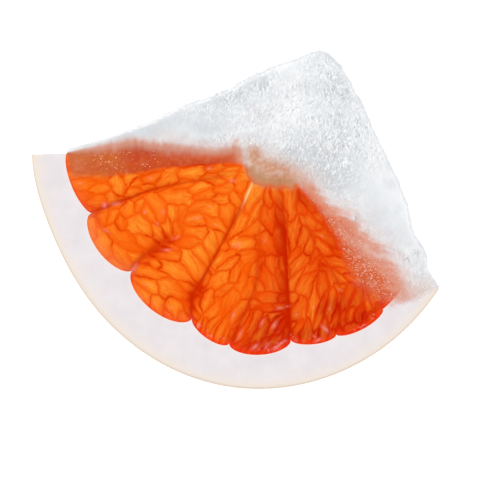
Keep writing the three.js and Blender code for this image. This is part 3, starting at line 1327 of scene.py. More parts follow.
    @staticmethod
    def _room(entry: tuple, table: Array) -> float:
        """Smallest distance between a vesicle and others, in half sizes of either.

        Args:
            entry: The vesicle's entry.
            table: Entries of the others.

        Returns:
            The distance.
        """
        offset = table[:, :2] - np.array(entry[:2])
        room = []
        for turn, length, width in ((np.radians(entry[2]), entry[3], entry[4]),
                                    (np.radians(table[:, 2]), table[:, 3], table[:, 4])):
            along = offset[:, 0] * np.cos(turn) + offset[:, 1] * np.sin(turn)
            across = offset[:, 1] * np.cos(turn) - offset[:, 0] * np.sin(turn)
            room.append(np.hypot(along / length, across / width).min())
        return min(room)

    def _reach(self, points: Array, owner: Array) -> Array:
        """Distance from points to vesicles, in half sizes, with the drop's taper.

        Args:
            points: Plan points; their shape fits owner's by broadcasting.
            owner: Numbers of the vesicles.

        Returns:
            Distances.
        """
        axis, half = self.axes[owner], self.halves[owner]
        offset = points - self.centres[owner]
        along = (offset * axis).sum(-1) / half[..., 0]
        across = (offset[..., 1] * axis[..., 0] - offset[..., 0] * axis[..., 1]) / half[..., 1]
        drop = across / (1 + self.taper * np.clip(along, -1.2, 1.2))
        return np.hypot(along, drop) - self.leads[owner]

    def read(self, points: Array) -> dict[str, Array]:
        """Pattern at plan points.

        Args:
            points: Plan points, n by two.

        Returns:
            Distance in mm to the nearest seam, how strong that seam is, tone of the vesicle,
            and position along and across it.
        """
        x, y = points[:, 0], points[:, 1]
        size = self.warp_size
        shift = np.stack([rough_noise(x / size, y / size, self.seed + more, 3)
                          for more in self.warp_seeds], -1)
        points = points + self.warp * shift
        everyone = np.arange(len(self.centres))
        pairs = []
        for block in np.array_split(points, max(1, len(points) // self.block)):
            far = self._reach(block[:, None], everyone[None])
            two = np.argpartition(far, 1, axis=1)[:, :2]
            swap = np.take_along_axis(far, two, 1)
            two[swap[:, 0] > swap[:, 1]] = two[swap[:, 0] > swap[:, 1]][:, ::-1]
            pairs.append(two)
        owner, rival = np.concatenate(pairs).T
        gap = self._reach(points, rival) - self._reach(points, owner)
        slope = []
        for step in ((self.nudge, 0), (0, self.nudge)):
            moved = points + np.array(step)
            change = self._reach(moved, rival) - self._reach(moved, owner) - gap
            slope.append(change / self.nudge)
        seam = gap / np.maximum(np.hypot(*slope), 0.25)
        strong = lattice_value(np.minimum(owner, rival), np.maximum(owner, rival), self.seed)
        offset = points - self.centres[owner]
        axis = self.axes[owner]
        along = (offset * axis).sum(-1)
        across = offset[:, 1] * axis[:, 0] - offset[:, 0] * axis[:, 1]
        return {"seam": seam, "strong": strong, "tone": self.tones[owner], "along": along,
                "across": across, "end": along / self.halves[owner, 0],
                "number": owner.astype(float)}


@dataclass
class WallLook:
    """How a segment wall shows in the cut face.

    Its half widths in mm lie in the segment before it and in the one after it; its strengths
    are those next to the core and next to the pith.
    """

    before: float
    after: float
    inner: float
    outer: float
    start: float = 0.0


@dataclass
class Pulp:
    """The segments of pulp, each a closed body between two walls.

    Depths, rims and milks give each segment's share of deep red, of a red rim, brightened as
    painted light against the shade of the falling dome, and of a milky one next to the pith.
    From the first glinting segment on, the pulp next to the pith has more painted highlights.
    """

    plan: SlicePlan
    step: float = 0.16
    relief: float = 0.2
    underside_sink: float = 0.9
    cell_width: float = 0.8
    cell_power: float = 1.3
    glint_lift: float = 0.08
    rim_width: float = 1.1
    milk_width: float = 1.8
    # Half sizes in mm of the small painted highlight spots.
    glint_length: float = 0.42
    glint_width: float = 0.2
    # First segment with more painted highlights next to the pith.
    glint_from: int = 3
    lot_rows: int = 88
    depths: tuple = (0.08, 0.02, 0.05, 0.08, 0.5, 0.48, 0.52, 0.58)
    rims: tuple = (0.35, 0.25, 0.5, 0.7, 0.7, 0.7, 0.7, 0.7)
    milks: tuple = (0.05, 0.15, 0.03, 0.0, 0.0, 0.0, 0.0, 0.0)
    looks: tuple = (
        WallLook(0.5, 0.5, 0.2, 0.4), WallLook(0.6, 0.55, 0.5, 0.85),
        WallLook(0.8, 0.8, 0.0, 0.7, 0.56), WallLook(0.6, 0.55, 0.75, 0.85),
        WallLook(0.5, 0.7, 0.3, 0.55), WallLook(1.9, 0.5, 1.0, 1.0),
        WallLook(0.4, 0.4, 0.4, 0.4), WallLook(1.6, 1.2, 0.28, 0.12), WallLook(0.5, 0.5, 0.2, 0.3))
    stars: tuple = (
        Patch(-24.2, -18.2, 4.2, 2.6, 35), Patch(-28.0, -22.0, 3.6, 1.6, 50, 0.8),
        Patch(-16.4, -30.5, 3.6, 2.4, 60), Patch(-17.4, -35.5, 3.0, 1.3, 85, 0.6),
        Patch(14.8, -24.2, 3.0, 2.2, 0, 0.6), Patch(-0.8, -21.5, 4.5, 1.4, -85, 0.6))
    # Patches of deeper, darker red: partly the pulp's own colour, partly painted shade, such as the
    # line under the ice lap's edge and the bands beside walls and stars.
    reds_and_painted_shades: tuple = (
        Patch(-24.4, -18.0, 3.4, 2.2, 40, 0.75), Patch(-28.2, -23.0, 3.2, 0.7, 50, 0.35),
        Patch(-16.4, -31.0, 3.4, 2.2, 60, 0.7), Patch(-17.6, -35.5, 3.5, 1.0, 88, 0.45),
        Patch(14.8, -24.2, 1.2, 0.8, 0, 0.3), Patch(-16.0, 1.2, 11.0, 1.0, 3, 0.9),
        Patch(-5.8, -38.5, 7.0, 1.6, 62, 0.5), Patch(4.4, -17.0, 12.0, 1.5, -88, 0.5),
        Patch(4.8, -37.0, 8.5, 2.4, 85, 0.5), Patch(0.0, -45.0, 9.0, 1.2, 3, 0.25),
        Patch(14.0, -41.5, 10.0, 1.8, 14, 0.4), Patch(21.5, -38.5, 9.0, 2.2, 28, 0.4),
        Patch(18.5, -34.5, 5.5, 2.8, 20, 0.5), Patch(0.0, -41.0, 9.0, 3.0, 8, 0.25),
        Patch(9.0, -6.5, 4.0, 2.0, -50, 0.45), Patch(-42.5, -11.0, 4.0, 1.4, -50, 0.4),
        Patch(17.0, -34.5, 2.5, 3.0, 80, 0.3), Patch(-11.0, -1.0, 5.0, 1.6, -10, 0.3),
        Patch(-32.0, -25.0, 3.0, 1.0, 50, 0.3), Patch(3.5, -40.5, 6.0, 4.0, 0, 0.2),
        Patch(26.5, -30.5, 4.0, 4.0, 0, 0.25), Patch(16.5, -21.0, 5.0, 9.0, 0, 0.1),
        Patch(24.0, -25.0, 5.0, 3.0, -50, 0.25))
    creams: tuple = (Patch(-3.4, -5.9, 2.9, 0.3, 67),)
    # Listed painted highlights: pink glints on the wet pulp.
    painted_glints: tuple = (
        Patch(-1.8, -44.5, 1.0, 0.4, 40), Patch(1.2, -44.1, 0.8, 0.45, 60, 0.8),
        Patch(3.5, -44.5, 1.1, 0.4, 30), Patch(4.8, -43.5, 0.8, 0.35, 30, 0.9),
        Patch(5.8, -42.9, 0.5, 0.35, 0, 0.7), Patch(3.2, -39.0, 0.9, 0.5, 60, 0.7),
        Patch(-5.5, -41.5, 1.2, 0.35, 65, 0.7), Patch(0.0, -38.4, 1.0, 0.35, 60, 0.5),
        Patch(-7.2, -36.5, 1.2, 0.3, 65, 0.6), Patch(15.8, -40.0, 1.1, 0.45, -45, 0.9),
        Patch(14.0, -42.8, 0.9, 0.35, 35, 0.8), Patch(4.5, -34.8, 0.9, 0.3, 10, 0.6),
        Patch(-39.5, -9.0, 0.6, 0.7, 0, 0.9), Patch(-36.6, -8.7, 1.2, 0.35, 10, 0.6),
        Patch(-39.2, -15.3, 1.0, 0.35, -30, 0.5), Patch(-29.2, -10.8, 0.5, 0.4, 0, 0.5),
        Patch(-24.7, -10.8, 0.35, 0.7, 0, 0.45), Patch(-26.0, -13.7, 0.35, 0.6, 0, 0.4),
        Patch(-23.7, -20.2, 1.3, 0.28, 5, 0.6), Patch(-32.0, -25.0, 1.3, 0.45, 60, 0.8),
        Patch(-21.5, -17.2, 0.9, 0.35, 20, 0.4),
        Patch(-13.2, 0.2, 0.6, 0.4, 30, 0.5), Patch(-7.5, -3.0, 0.7, 0.4, 20, 0.6),
        Patch(-28.0, -2.2, 0.5, 0.4, 0, 0.5), Patch(-16.4, -12.3, 1.2, 0.3, 10, 0.45),
        Patch(-6.2, -19.0, 1.0, 0.5, 10, 0.5))

    def build(self, material: bpy.types.Material) -> None:
        """Builds all segments.

        Args:
            material: The pulp's material.
        """
        fields = {Face.UPPER: VesicleField(self.plan, seed=5, keep_noted=True),
                  Face.LOWER: VesicleField(self.plan, seed=6, keep_noted=False)}
        for segment in self.plan.segments:
            piece = self._segment(segment, fields)
            settle(piece, material, "slice")

    def _segment(self, segment: int, fields: dict[Face, VesicleField]) -> bpy.types.Object:
        """Builds one segment.

        Args:
            segment: Its number.
            fields: The vesicles of both cut faces.

        Returns:
            The piece.
        """
        rows = round(self.plan.walls[segment + 1].length / self.step) + 1
        outer = self.plan.segment_point(segment, 1.0, np.linspace(0, 1, self.plan.wall_samples))
        columns = round(run_along(outer)[-1] / self.step) + 1
        along = np.linspace(0, 1, rows)[:, None]
        across = np.linspace(0, 1, columns)[None, :]
        plan = self.plan.segment_point(segment, along, across)
        first, last = plan[:, :1], plan[:, -1:]
        wide = np.linalg.norm(last - first, axis=-1)
        long = np.linalg.norm(plan[-1:] - plan[:1], axis=-1)
        ends = {
            "first": across * wide + 0 * along,
            "second": (1 - across) * wide + 0 * along,
            "pith": (1 - along) * long,
            "core": along * long,
            "along": along + 0 * across,
        }
        reads = {face: {key: value.reshape(plan.shape[:2]) for key, value in
                        vesicles.read(plan.reshape(-1, 2)).items()}
                 for face, vesicles in fields.items()}
        sheets, values = [], []
        for face, behind in ((Face.UPPER, Face.LOWER), (Face.LOWER, Face.UPPER)):
            lift, look = self._surface(segment, plan, ends, reads[face], reads[behind])
            if face is Face.UPPER:
                sheets.append(heights(plan, self.plan.thickness + lift))
            else:
                sheets.append(heights(plan, np.maximum(self.underside_sink - lift, 0.0)))
            values.append(look)
        shell = grid_shell(sheets[0], sheets[1])
        joined = {key: np.concatenate([values[0][key], values[1][key]]) for key in values[0]}
        return shell.to_object(f"pulp_segment_{segment + 1}", joined)

    def _surface(self, segment: int, plan: Array, ends: dict[str, Array], read: dict[str, Array],
                 behind: dict[str, Array]) -> tuple[Array, dict[str, Array]]:
        """Relief and colour values of one cut face of a segment.

        Args:
            segment: Number of the segment.
            plan: Grid of plan points.
            ends: Distances in mm to the walls, the pith and the core, and the share along.
            read: The pattern of the face's vesicles.
            behind: The pattern of deeper vesicles that shine through.

        Returns:
            Heights above the cut face in mm, and values for each point.
        """
        x, y = plan[..., 0], plan[..., 1]
        wall, groove = self._walls(segment, plan, ends)
        groove = groove * ramp_up(0, 3, ends["core"])
        edge = np.minimum(np.minimum(ends["first"], ends["second"]), ends["pith"])
        dome = self.plan.pulp_dome * (1 - bell(edge, self.plan.dome_reach))
        seam = np.maximum(read["seam"], 0)
        cell = 1 - np.exp(-((seam / self.cell_width) ** self.cell_power))
        glint = self._glint(segment, plan, read, ends)
        lift = (dome - 0.6 * self.plan.membrane_groove * groove + self.glint_lift * glint
                + self.relief * (cell - 0.6) * ramp_up(0.2, 1.6, edge))
        star = patched(self.stars, plan)
        fade = 0.28 + 0.77 * ramp_up(-0.5, 0.5, smooth_noise(x / 3.5, y / 3.5, Noise.VEIN_FADE))
        fade = np.maximum(fade, star)
        uneven = 0.75 + 0.35 * smooth_noise(x / 0.8, y / 0.8, Noise.VEIN_WIDTH)
        strong = np.maximum(read["strong"] ** 2, star)
        line = bell(seam, 0.1 + 0.18 * strong * uneven + 0.3 * star)
        # Dark seams between vesicles, each with a painted shade fading out beside it.
        vein = fade * ((0.15 + 0.85 * strong) * uneven * line
                       + (0.2 + 0.3 * read["strong"] + 0.45 * star)
                       * np.exp(-seam / (0.4 + 0.7 * star)))
        sides = np.minimum(ends["first"], ends["second"])
        vein = vein * (0.2 + 0.8 * ramp_up(0.1, 0.9, sides)) * (1 + 0.4 * self.depths[segment])
        deeper = behind["strong"] * bell(np.maximum(behind["seam"], 0), 0.3)
        vein = np.maximum(vein, 0.42 * uneven * deeper)
        milk = self.milks[segment] * bell(ends["pith"], self.milk_width)
        look = {
            "vein": np.clip(vein, 0, 1),
            "wall": wall,
            "tone": self._tone(read, plan) * (1 - 0.75 * star),
            "depth": self._depth(segment, plan, ends, read),
            "glint": glint,
            # Red rim next to the pith, brightened as painted light against the edge's shade.
            "rim": self.rims[segment] * bell(ends["pith"], self.rim_width),
            "tan": 1 - juicy(plan, ends["core"]),
            "cream": np.maximum(patched(self.creams, plan), milk),
        }
        grain = np.stack([read["along"] + 9 * read["tone"], read["across"],
                          31 * read["tone"]], -1)
        values = {key: value.ravel() for key, value in look.items()}
        values["grain"] = grain.reshape(-1, 3)
        return lift, values

    def _walls(self, segment: int, plan: Array, ends: dict[str, Array]) -> tuple[Array, Array]:
        """Strength of the walls' colour and of their grooves.

        Args:
            segment: Number of the segment.
            plan: Grid of plan points.
            ends: Distances in mm to the walls and the pith, and the share along.

        Returns:
            Colour share and groove share for each point.
        """
        x, y = plan[..., 0], plan[..., 1]
        ragged = (1 + 0.4 * smooth_noise(x / 1.3, y / 1.3, Noise.WALL_EDGE)
                  + 0.25 * smooth_noise(x / 5, y / 5, Noise.WALL_SWELL))
        wall, groove = np.zeros(x.shape), np.zeros(x.shape)
        for side, number in (("first", segment), ("second", segment + 1)):
            look = self.looks[number]
            half = look.after if side == "first" else look.before
            strength = look.inner + (look.outer - look.inner) * ramp_up(0.3, 0.7, ends["along"])
            strength = strength * ramp_up(look.start - 0.01, look.start + 0.3, ends["along"])
            wall = np.maximum(wall, strength * bell(ends[side], half * ragged))
            deep = bell(ends[side], self.plan.groove_width)
            groove = np.maximum(groove, np.minimum(1, strength * 1.5) * deep)
        deep = bell(ends["pith"], 0.6 * self.plan.groove_width)
        return wall, np.maximum(groove, deep)

    def _lot(self, read: dict[str, Array], noise: Noise) -> Array:
        """Random number from 0 to 1 for each vesicle.

        Args:
            read: The pattern of the face's vesicles.
            noise: Which set of numbers.

        Returns:
            The number of each point's vesicle.
        """
        row = np.full_like(read["number"], noise - self.lot_rows)
        return lattice_value(read["number"], row, noise)

    def _glint(self, segment: int, plan: Array, read: dict[str, Array],
               ends: dict[str, Array]) -> Array:
        """Painted highlights: the noted ones, small ones on some vesicles and more next to the pith.

        Args:
            segment: Number of the segment.
            plan: Grid of plan points.
            read: The pattern of the face's vesicles.
            ends: Distances in mm to the walls, the pith and the core.

        Returns:
            Share of painted highlight and glossy coat, from 0 to 1.
        """
        glint_end = segment >= self.glint_from
        pick = self._lot(read, Noise.GLINT_PICK)
        place = self._lot(read, Noise.GLINT_PLACE) - 0.5
        chance = 0.08 + (0.35 if glint_end else 0.2) * np.exp(-ends["pith"] / 2.4)
        along = (read["along"] - 1.2 - 1.6 * place) / self.glint_length
        across = (read["across"] - 1.2 * place) / self.glint_width
        spots = np.where(pick < chance, 0.5 * np.exp(-(along ** 2) - across ** 2), 0.0)
        x, y = plan[..., 0], plan[..., 1]
        shore_spots = ramp_up(0.3, 0.62, rough_noise(x / 0.8, y / 0.55, Noise.SHORE_GLINTS, 2))
        shore = bell(ends["pith"] - 1.1, 0.9) * (0.8 if glint_end else 0.2)
        shore = shore_spots * shore * ramp_up(-0.2, 0.4, smooth_noise(x / 3, y / 3, Noise.SHORE_GAPS))
        broken = 0.8 + 0.6 * rough_noise(x / 0.7, y / 0.7, Noise.GLINT_EDGE, 2)
        noted = np.clip(patched(self.painted_glints, plan) * broken, 0, 1)
        return np.maximum(np.maximum(spots, shore), noted)

    @staticmethod
    def _tone(read: dict[str, Array], plan: Array) -> Array:
        """Share of the light colour, a painted glow of light shining through the vesicles.

        It is brighter in the middle of some vesicles and towards their wide ends.

        Args:
            read: The pattern of the face's vesicles.
            plan: Grid of plan points.

        Returns:
            Shares from 0 to 1.
        """
        seam = np.maximum(read["seam"], 0)
        glow = 1 - np.exp(-seam / 0.7)
        cloud = 0.5 + 0.5 * smooth_noise(plan[..., 0] / 5, plan[..., 1] / 5, Noise.PULP_CLOUDS)
        bright = 0.28 + 0.65 * read["tone"] + 0.3 * np.clip(read["end"], -1, 1)
        return np.clip(glow * bright * (0.6 + 0.55 * cloud), 0, 1)

    def _depth(self, segment: int, plan: Array, ends: dict[str, Array],
               read: dict[str, Array]) -> Array:
        """Share of the deep red: more towards the right, at the patches and next to the pith.

        The patches are partly deeper red pulp and partly painted shade.

        Args:
            segment: Number of the segment.
            plan: Grid of plan points.
            ends: Distances in mm to the walls, the pith and the core.
            read: The pattern of the face's vesicles.

        Returns:
            Shares from 0 to 1.
        """
        here = self.depths[segment]
        others = [self.depths[max(segment - 1, 0)],
                  self.depths[min(segment + 1, len(self.depths) - 1)]]
        depth = np.full(plan.shape[:2], here)
        for side, other in zip(("first", "second"), others):
            depth = depth + (other - here) * 0.5 * np.exp(-ends[side] / 1.8)
        low = ramp_up(-22, -40, plan[..., 1]) * ramp_up(-14, -4, plan[..., 0])
        depth = depth + (0.16 + 0.16 * low) * bell(ends["pith"], 2.6)
        # Deeper red and painted shade from the patches.
        shade = sum(patch.weight(plan) for patch in self.reds_and_painted_shades)
        tint = 0.22 * (self._lot(read, Noise.VESICLE_TINT) - 0.5)
        return np.clip(depth + 0.75 * shade + tint, 0, 1)


@dataclass
class Pith:
    """White pith between the pulp and the peel."""

    plan: SlicePlan
    peel: float = 0.8
    step: float = 0.3
    rows: int = 30
    swell: float = 0.07
    lift: float = 0.05
    peach_reach: float = 1.2
    blush_reach: float = 0.4

    def build(self, material: bpy.types.Material) -> None:
        """Builds the pith.

        Args:
            material: The pith's material.
        """
        border, rind = self.plan.border_columns(self.step)
        reach = np.linalg.norm(rind, axis=1, keepdims=True)
        outer = rind * (1 - self.peel / reach)
        share = np.linspace(0, 1, self.rows)[:, None, None]
        plan = border[None] * (1 - share) + outer[None] * share
        hollow = 0.5 * self.plan.pith_groove * bell(share[..., 0], 0.25)
        swell = self.swell * rough_noise(plan[..., 0] / 3, plan[..., 1] / 3, Noise.PITH_SWELL, 3)
        depth = np.linalg.norm(plan - outer[None], axis=-1)
        inner = np.linalg.norm(plan - border[None], axis=-1)
        top = heights(plan, self.plan.thickness - hollow + swell * (1 - share[..., 0]))
        bottom = heights(plan, hollow + self.lift)
        shell = grid_shell(top, bottom)
        uneven = 1 + 0.4 * smooth_noise(plan[..., 0] / 5, plan[..., 1] / 5, Noise.PEACH_REACH)
        peach = np.exp(-(depth / (self.peach_reach * uneven)))
        blush = 0.9 * bell(inner, self.blush_reach)
        values = {"peach": np.tile(peach.ravel(), 2), "blush": np.tile(blush.ravel(), 2)}
        piece = shell.to_object("pith", values)
        settle(piece, material, "slice")


@dataclass
class Peel:
    """Thin coloured peel round the pith, pitted by oil glands."""

    plan: SlicePlan
    pith: Pith
    step: float = 0.26
    ring_step: float = 0.24
    gland_gap: float = 1.05
    gland_size: float = 0.34
    gland_depth: float = 0.09
    row_shares: tuple = (0.0, 0.35, 0.7, 0.9, 1.0)

    def build(self, material: bpy.types.Material) -> None:
        """Builds the peel.

        Args:
            material: The peel's material.
        """
        arc = self.plan.rind_point(np.linspace(0, 1, self.plan.arc_samples))
        columns = round(run_along(arc)[-1] / self.step) + 1
        outer = self.plan.rind_point(np.linspace(0, 1, columns))
        reach = np.linalg.norm(outer, axis=1, keepdims=True)
        inner = outer * (1 - self.pith.peel / reach)
        share = np.array(self.row_shares)[:, None, None]
        plan = inner[None] * (1 - share) + outer[None] * share
        round_off = self.plan.edge_round * ramp_up(0.3, 1.0, share[..., 0]) ** 2
        top = heights(plan, self.plan.thickness - round_off)
        bottom = heights(plan, 0 * round_off)
        rows = len(share)
        loop = grid_loop(rows, columns)
        rings, skins, glands = self._rings(top.reshape(-1, 3)[loop], bottom.reshape(-1, 3)[loop])
        shell = grid_shell(top, bottom, rings)
        count = rows * columns
        zest = np.repeat(share.ravel() ** 2, columns)
        below = np.concatenate([np.ones(len(loop))] * len(rings))
        values = {"zest": np.concatenate([zest, zest, below]),
                  "skin": np.concatenate([np.zeros(2 * count), *skins]),
                  "gland": np.concatenate([np.zeros(2 * count), *glands])}
        settle(shell.to_object("peel", values), material, "slice")

    def _rings(self, top: Array, bottom: Array) -> tuple[list[Array], list[Array], list[Array]]:
        """Side rings with the rind's bulge and its oil glands.

        Args:
            top: Outline of the upper face.
            bottom: Outline of the lower face.

        Returns:
            The rings, and for each its share of skin colour and of gland colour.
        """
        outward = outward_of(top)
        limit = self.plan.rind_radius - 1.5
        outside = ((np.linalg.norm(top[:, :2], axis=1) > limit)
                   & ((outward * top[:, :2]).sum(1) > 0.9 * np.linalg.norm(top[:, :2], axis=1)))
        run = run_along(top[:, :2])
        thick = self.plan.thickness
        rounding = self.plan.edge_round
        levels = np.arange(thick - rounding, 0, -self.ring_step)[1:]
        knots = ([0, 0.5, 0.5 * thick, 0.8 * thick, thick - rounding],
                 [-rounding, 0, self.plan.barrel, 0.7 * self.plan.barrel, 0])
        rings, skins, glands = [], [], []
        for level in levels:
            bulge = np.interp(level, *knots)
            pit = self._glands(run, np.full_like(run, level))
            push = np.where(outside, bulge - self.gland_depth * pit, 0.0)
            share = (thick - level) / thick
            ring = top * (1 - share) + bottom * share
            ring[:, 2] = np.minimum(level, top[:, 2] - 0.02 * (thick - level))
            ring[:, :2] += outward * push[:, None]
            rings.append(ring)
            skins.append(np.where(outside, ramp_up(thick - 0.8, thick - 3.0, level), 0.0))
            glands.append(np.where(outside, pit, 0.0))
        return rings, skins, glands

    def _glands(self, run: Array, level: Array) -> Array:
        """Depth share of the oil glands at points of the outer face.

        Args:
            run: Distance along the arc in mm.
            level: Height in mm.

        Returns:
            1 in the middle of a gland, 0 between glands.
        """
        x, y = run / self.gland_gap, level / self.gland_gap
        column, row = np.floor(x), np.floor(y)
        nearest = np.full_like(x, 9.0)
        for down in (-1, 0, 1):
            for over in (-1, 0, 1):
                cx, cy = column + over, row + down
                dx = x - cx - 0.2 - 0.6 * lattice_value(cx, cy, Noise.GLAND_X)
                dy = y - cy - 0.2 - 0.6 * lattice_value(cx, cy, Noise.GLAND_Y)
                nearest = np.minimum(nearest, np.hypot(dx, dy))
        return bell(nearest * self.gland_gap, self.gland_size)


@dataclass
class Core:
    """Fibrous core where the segments meet."""

    plan: SlicePlan
    rows: int = 46
    columns: int = 110
    level: float = 0.1
    lift: float = 0.05
    lump: float = 0.25
    lump_size: float = 1.8

    def build(self, material: bpy.types.Material) -> None:
        """Builds the core out to the inner ends of the segments.

        Args:
            material: The core's material.
        """
        ends = np.concatenate([self.plan.segment_point(s, 0.0, np.linspace(0, 1, 12, False))
                               for s in self.plan.segments] + [self.plan.walls[-1].points[:1]])
        run = run_along(ends)
        place = np.linspace(0, 1, self.columns)
        inner = np.stack([np.interp(place * run[-1], run, ends[:, k]) for k in (0, 1)], -1)
        upper = self.plan.core_top.at(place)
        share = np.linspace(0, 1, self.rows)[:, None, None]
        plan = upper[None] * (1 - share) + inner[None] * share
        inside = np.linalg.norm(plan - inner[None], axis=-1)
        x, y = plan[..., 0] / self.lump_size, plan[..., 1] / self.lump_size
        lumps = self.lump * rough_noise(x, y, Noise.CORE_LUMPS, 4)
        top = heights(plan, self.plan.thickness + self.level + lumps * ramp_up(0, 1.5, inside))
        shell = grid_shell(top, heights(plan, self.lift))
        orange = np.tile(juicy(plan, -inside).ravel(), 2)
        settle(shell.to_object("core", {"orange": orange}), material, "slice")


@dataclass
class Ice:
    """The lump of frosted ice over the cut edges, with its thin lap on the pulp.

    Each zone of the lap has the X in mm where it starts and the one where it is full.
    """

    plan: SlicePlan
    rise: float = 1.7
    lap_lift: float = 1.1
    thinning: float = 0.7
    shoulder: float = 2.8
    crag: float = 0.9
    crag_size: float = 5.5
    lean: float = 0.55
    columns: int = 360
    lap_rows: int = 36
    free_rows: int = 76
    ring_count: int = 13
    cut_steps: int = 160
    row_gap: float = 0.004
    veil_limit: float = 0.985
    chip: float = 0.28
    embed: float = 0.3
    grain_turn: tuple = (0.31, 0.95)
    left_zone: tuple = (-3, -8)
    right_zone: tuple = (7, 14)
    inland_zone: tuple = (-31, -22)
    corner_zone: tuple = (31, 38)
    outline_points: tuple = (
        (-48.6, 4.9), (-35.5, 9.0), (-27.5, 11.7), (-19.5, 15.7), (-14.5, 17.5), (-7.7, 20.2),
        (-0.7, 24.0), (9.0, 27.7), (14.5, 29.5), (18.7, 26.7), (22.2, 21.5), (28.2, 9.2),
        (35.5, -6.5), (37.5, -14.7), (41.0, -21.5), (41.7, -25.0), (44.2, -29.2))
    border_points: tuple = (
        (-48.6, 3.6), (-48.0, -2.6), (-42.5, -3.1), (-37.2, -3.0), (-28.5, -1.2), (-20.5, 0.1),
        (-8.5, 0.9), (-4.6, 0.0), (0.2, -2.9), (7.1, -3.8), (13.8, -11.2), (18.6, -20.0),
        (21.0, -28.4), (25.4, -33.6), (31.2, -35.9), (38.0, -33.7), (44.0, -29.9))
    grains: tuple = (
        Patch(19.5, 21.0, 4.5, 3.5, -70, 0.5), Patch(18.0, 6.0, 6.0, 4.0, -75, 0.5),
        Patch(7.0, 24.5, 3.0, 2.2, 20, -0.5), Patch(21.8, 15.0, 1.6, 3.5, 0, -0.5),
        Patch(32.0, -10.0, 14.0, 9.0, -60, -0.6), Patch(-35.0, 8.0, 16.0, 7.0, 12, -0.6),
        Patch(-17.0, 8.5, 9.0, 4.5, 12, -0.35), Patch(24.0, 8.5, 2.6, 8.0, 25, 0.45))
    clouds: tuple = (
        Patch(-7.5, 17.8, 7.0, 3.4, 25, 0.32), Patch(-29.5, 8.8, 6.0, 2.2, 18, 0.45),
        Patch(-14.0, 10.2, 4.0, 3.0, 0, 0.25), Patch(18.6, 20.8, 2.6, 3.4, 30, 0.35),
        Patch(11.5, 3.0, 7.0, 3.4, -10, 0.5), Patch(17.5, -2.0, 3.6, 5.0, 30, 0.5),
        Patch(7.5, 18.5, 4.5, 9.0, 20, -0.35), Patch(30.5, -2.0, 3.2, 10.0, 22, -0.15),
        Patch(25.0, 6.0, 3.0, 6.0, 28, -0.1), Patch(-3.5, 9.5, 4.5, 2.4, 0, -0.25),
        Patch(2.0, 12.5, 4.0, 3.0, 0, -0.15), Patch(20.5, 6.5, 3.0, 5.0, 20, 0.2),
        Patch(0.5, 21.5, 3.5, 2.5, 0, 0.2))
    # Places of the dark specks, painted shade of air gaps.
    specks: tuple = (
        Patch(23.5, -12.2, 0.8, 0.5, 60), Patch(26.0, -15.8, 0.8, 0.5, 40),
        Patch(36.0, -22.4, 1.4, 0.6, -40, 0.8), Patch(38.3, -21.0, 0.8, 0.8, 10, 0.8),
        Patch(33.5, -20.6, 1.6, 0.5, -40, 0.4))
    tans: tuple = (
        Patch(-1.9, 4.2, 2.4, 2.0, -40, 0.7), Patch(3.4, -0.9, 8.5, 3.3, -18, 1.3),
        Patch(-45.6, 1.3, 2.2, 3.4, 0, 0.25), Patch(39.5, -29.8, 4.0, 2.6, 20, 0.3))
    glows: tuple = (
        Patch(-40.3, 2.7, 1.4, 1.6, 0), Patch(-38.2, 1.2, 1.8, 0.5, -8),
        Patch(-36.2, 1.2, 1.3, 1.7, 30), Patch(-33.9, 3.9, 1.2, 0.5, 0),
        Patch(-28.4, 0.9, 1.4, 0.5, 10), Patch(-27.0, 3.2, 0.5, 1.6, 0, 0.7))
    reds: tuple = (Patch(27.0, -26.0, 3.6, 1.5, -35, 0.35), Patch(22.0, -22.5, 3.0, 1.2, -60, 0.2))
    frosted_pinks: tuple = (Patch(-6.4, 6.2, 1.2, 2.0, 10, 0.25),)

    def build(self, material: bpy.types.Material) -> bpy.types.Object:
        """Builds the ice.

        Args:
            material: The ice's material.

        Returns:
            The piece.
        """
        place = np.linspace(1, 0, self.columns)
        border = PlanCurve(self.border_points).at_place(place)
        free = PlanCurve(self.outline_points).at_place(place)
        ends = ramp_up(0, 0.06, place) * ramp_up(1, 0.94, place)
        chipped = self.chip * ends * rough_noise(place * 190, place * 0, Noise.CHIPPED_EDGE, 2)
        free = free + outward_of(free[::-1])[::-1] * chipped[:, None]
        cut = self._cut_share(border, free)
        share = self._row_shares(cut)
        plan = border[None] * (1 - share[..., None]) + free[None] * share[..., None]
        over = share <= cut[None] + 1e-6
        top = heights(plan, self._height(plan, share))
        low = np.where(over, self.plan.thickness - self.embed, 0.0)
        bottom = heights(plan, low)
        rings = self._rings(top, bottom)
        shell = grid_shell(top, bottom, rings)
        values = self._values(plan, share, cut)
        loop = grid_loop(*plan.shape[:2])
        joined = {key: np.concatenate([value, value] + [value[loop]] * len(rings))
                  for key, value in values.items()}
        joined["veil"][over.size:2 * over.size][over.ravel()] = 0
        for key in ("sparkle", "glow", "grains"):
            joined[key][over.size:] = 0
        piece = shell.to_object("ice_lump", joined, sharp=60)
        settle(piece, material, "ice")
        piece.visible_shadow = False
        piece.visible_diffuse = False
        return piece

    def _cut_share(self, border: Array, free: Array) -> Array:
        """Share of the way from the lap's border to the outline where the slice ends.

        Args:
            border: Points of the lap's border.
            free: Points of the free outline, one for each of the border's.

        Returns:
            One share for each pair of points.
        """
        steps = np.linspace(0, 1, self.cut_steps)[:, None, None]
        inside = self.plan.holds(border[None] * (1 - steps) + free[None] * steps)
        last = 1 - np.argmax(inside[::-1], axis=0) / (self.cut_steps - 1)
        found = inside.any(axis=0)
        return np.clip(np.where(found, last, 0.3), 0.05, 0.95)

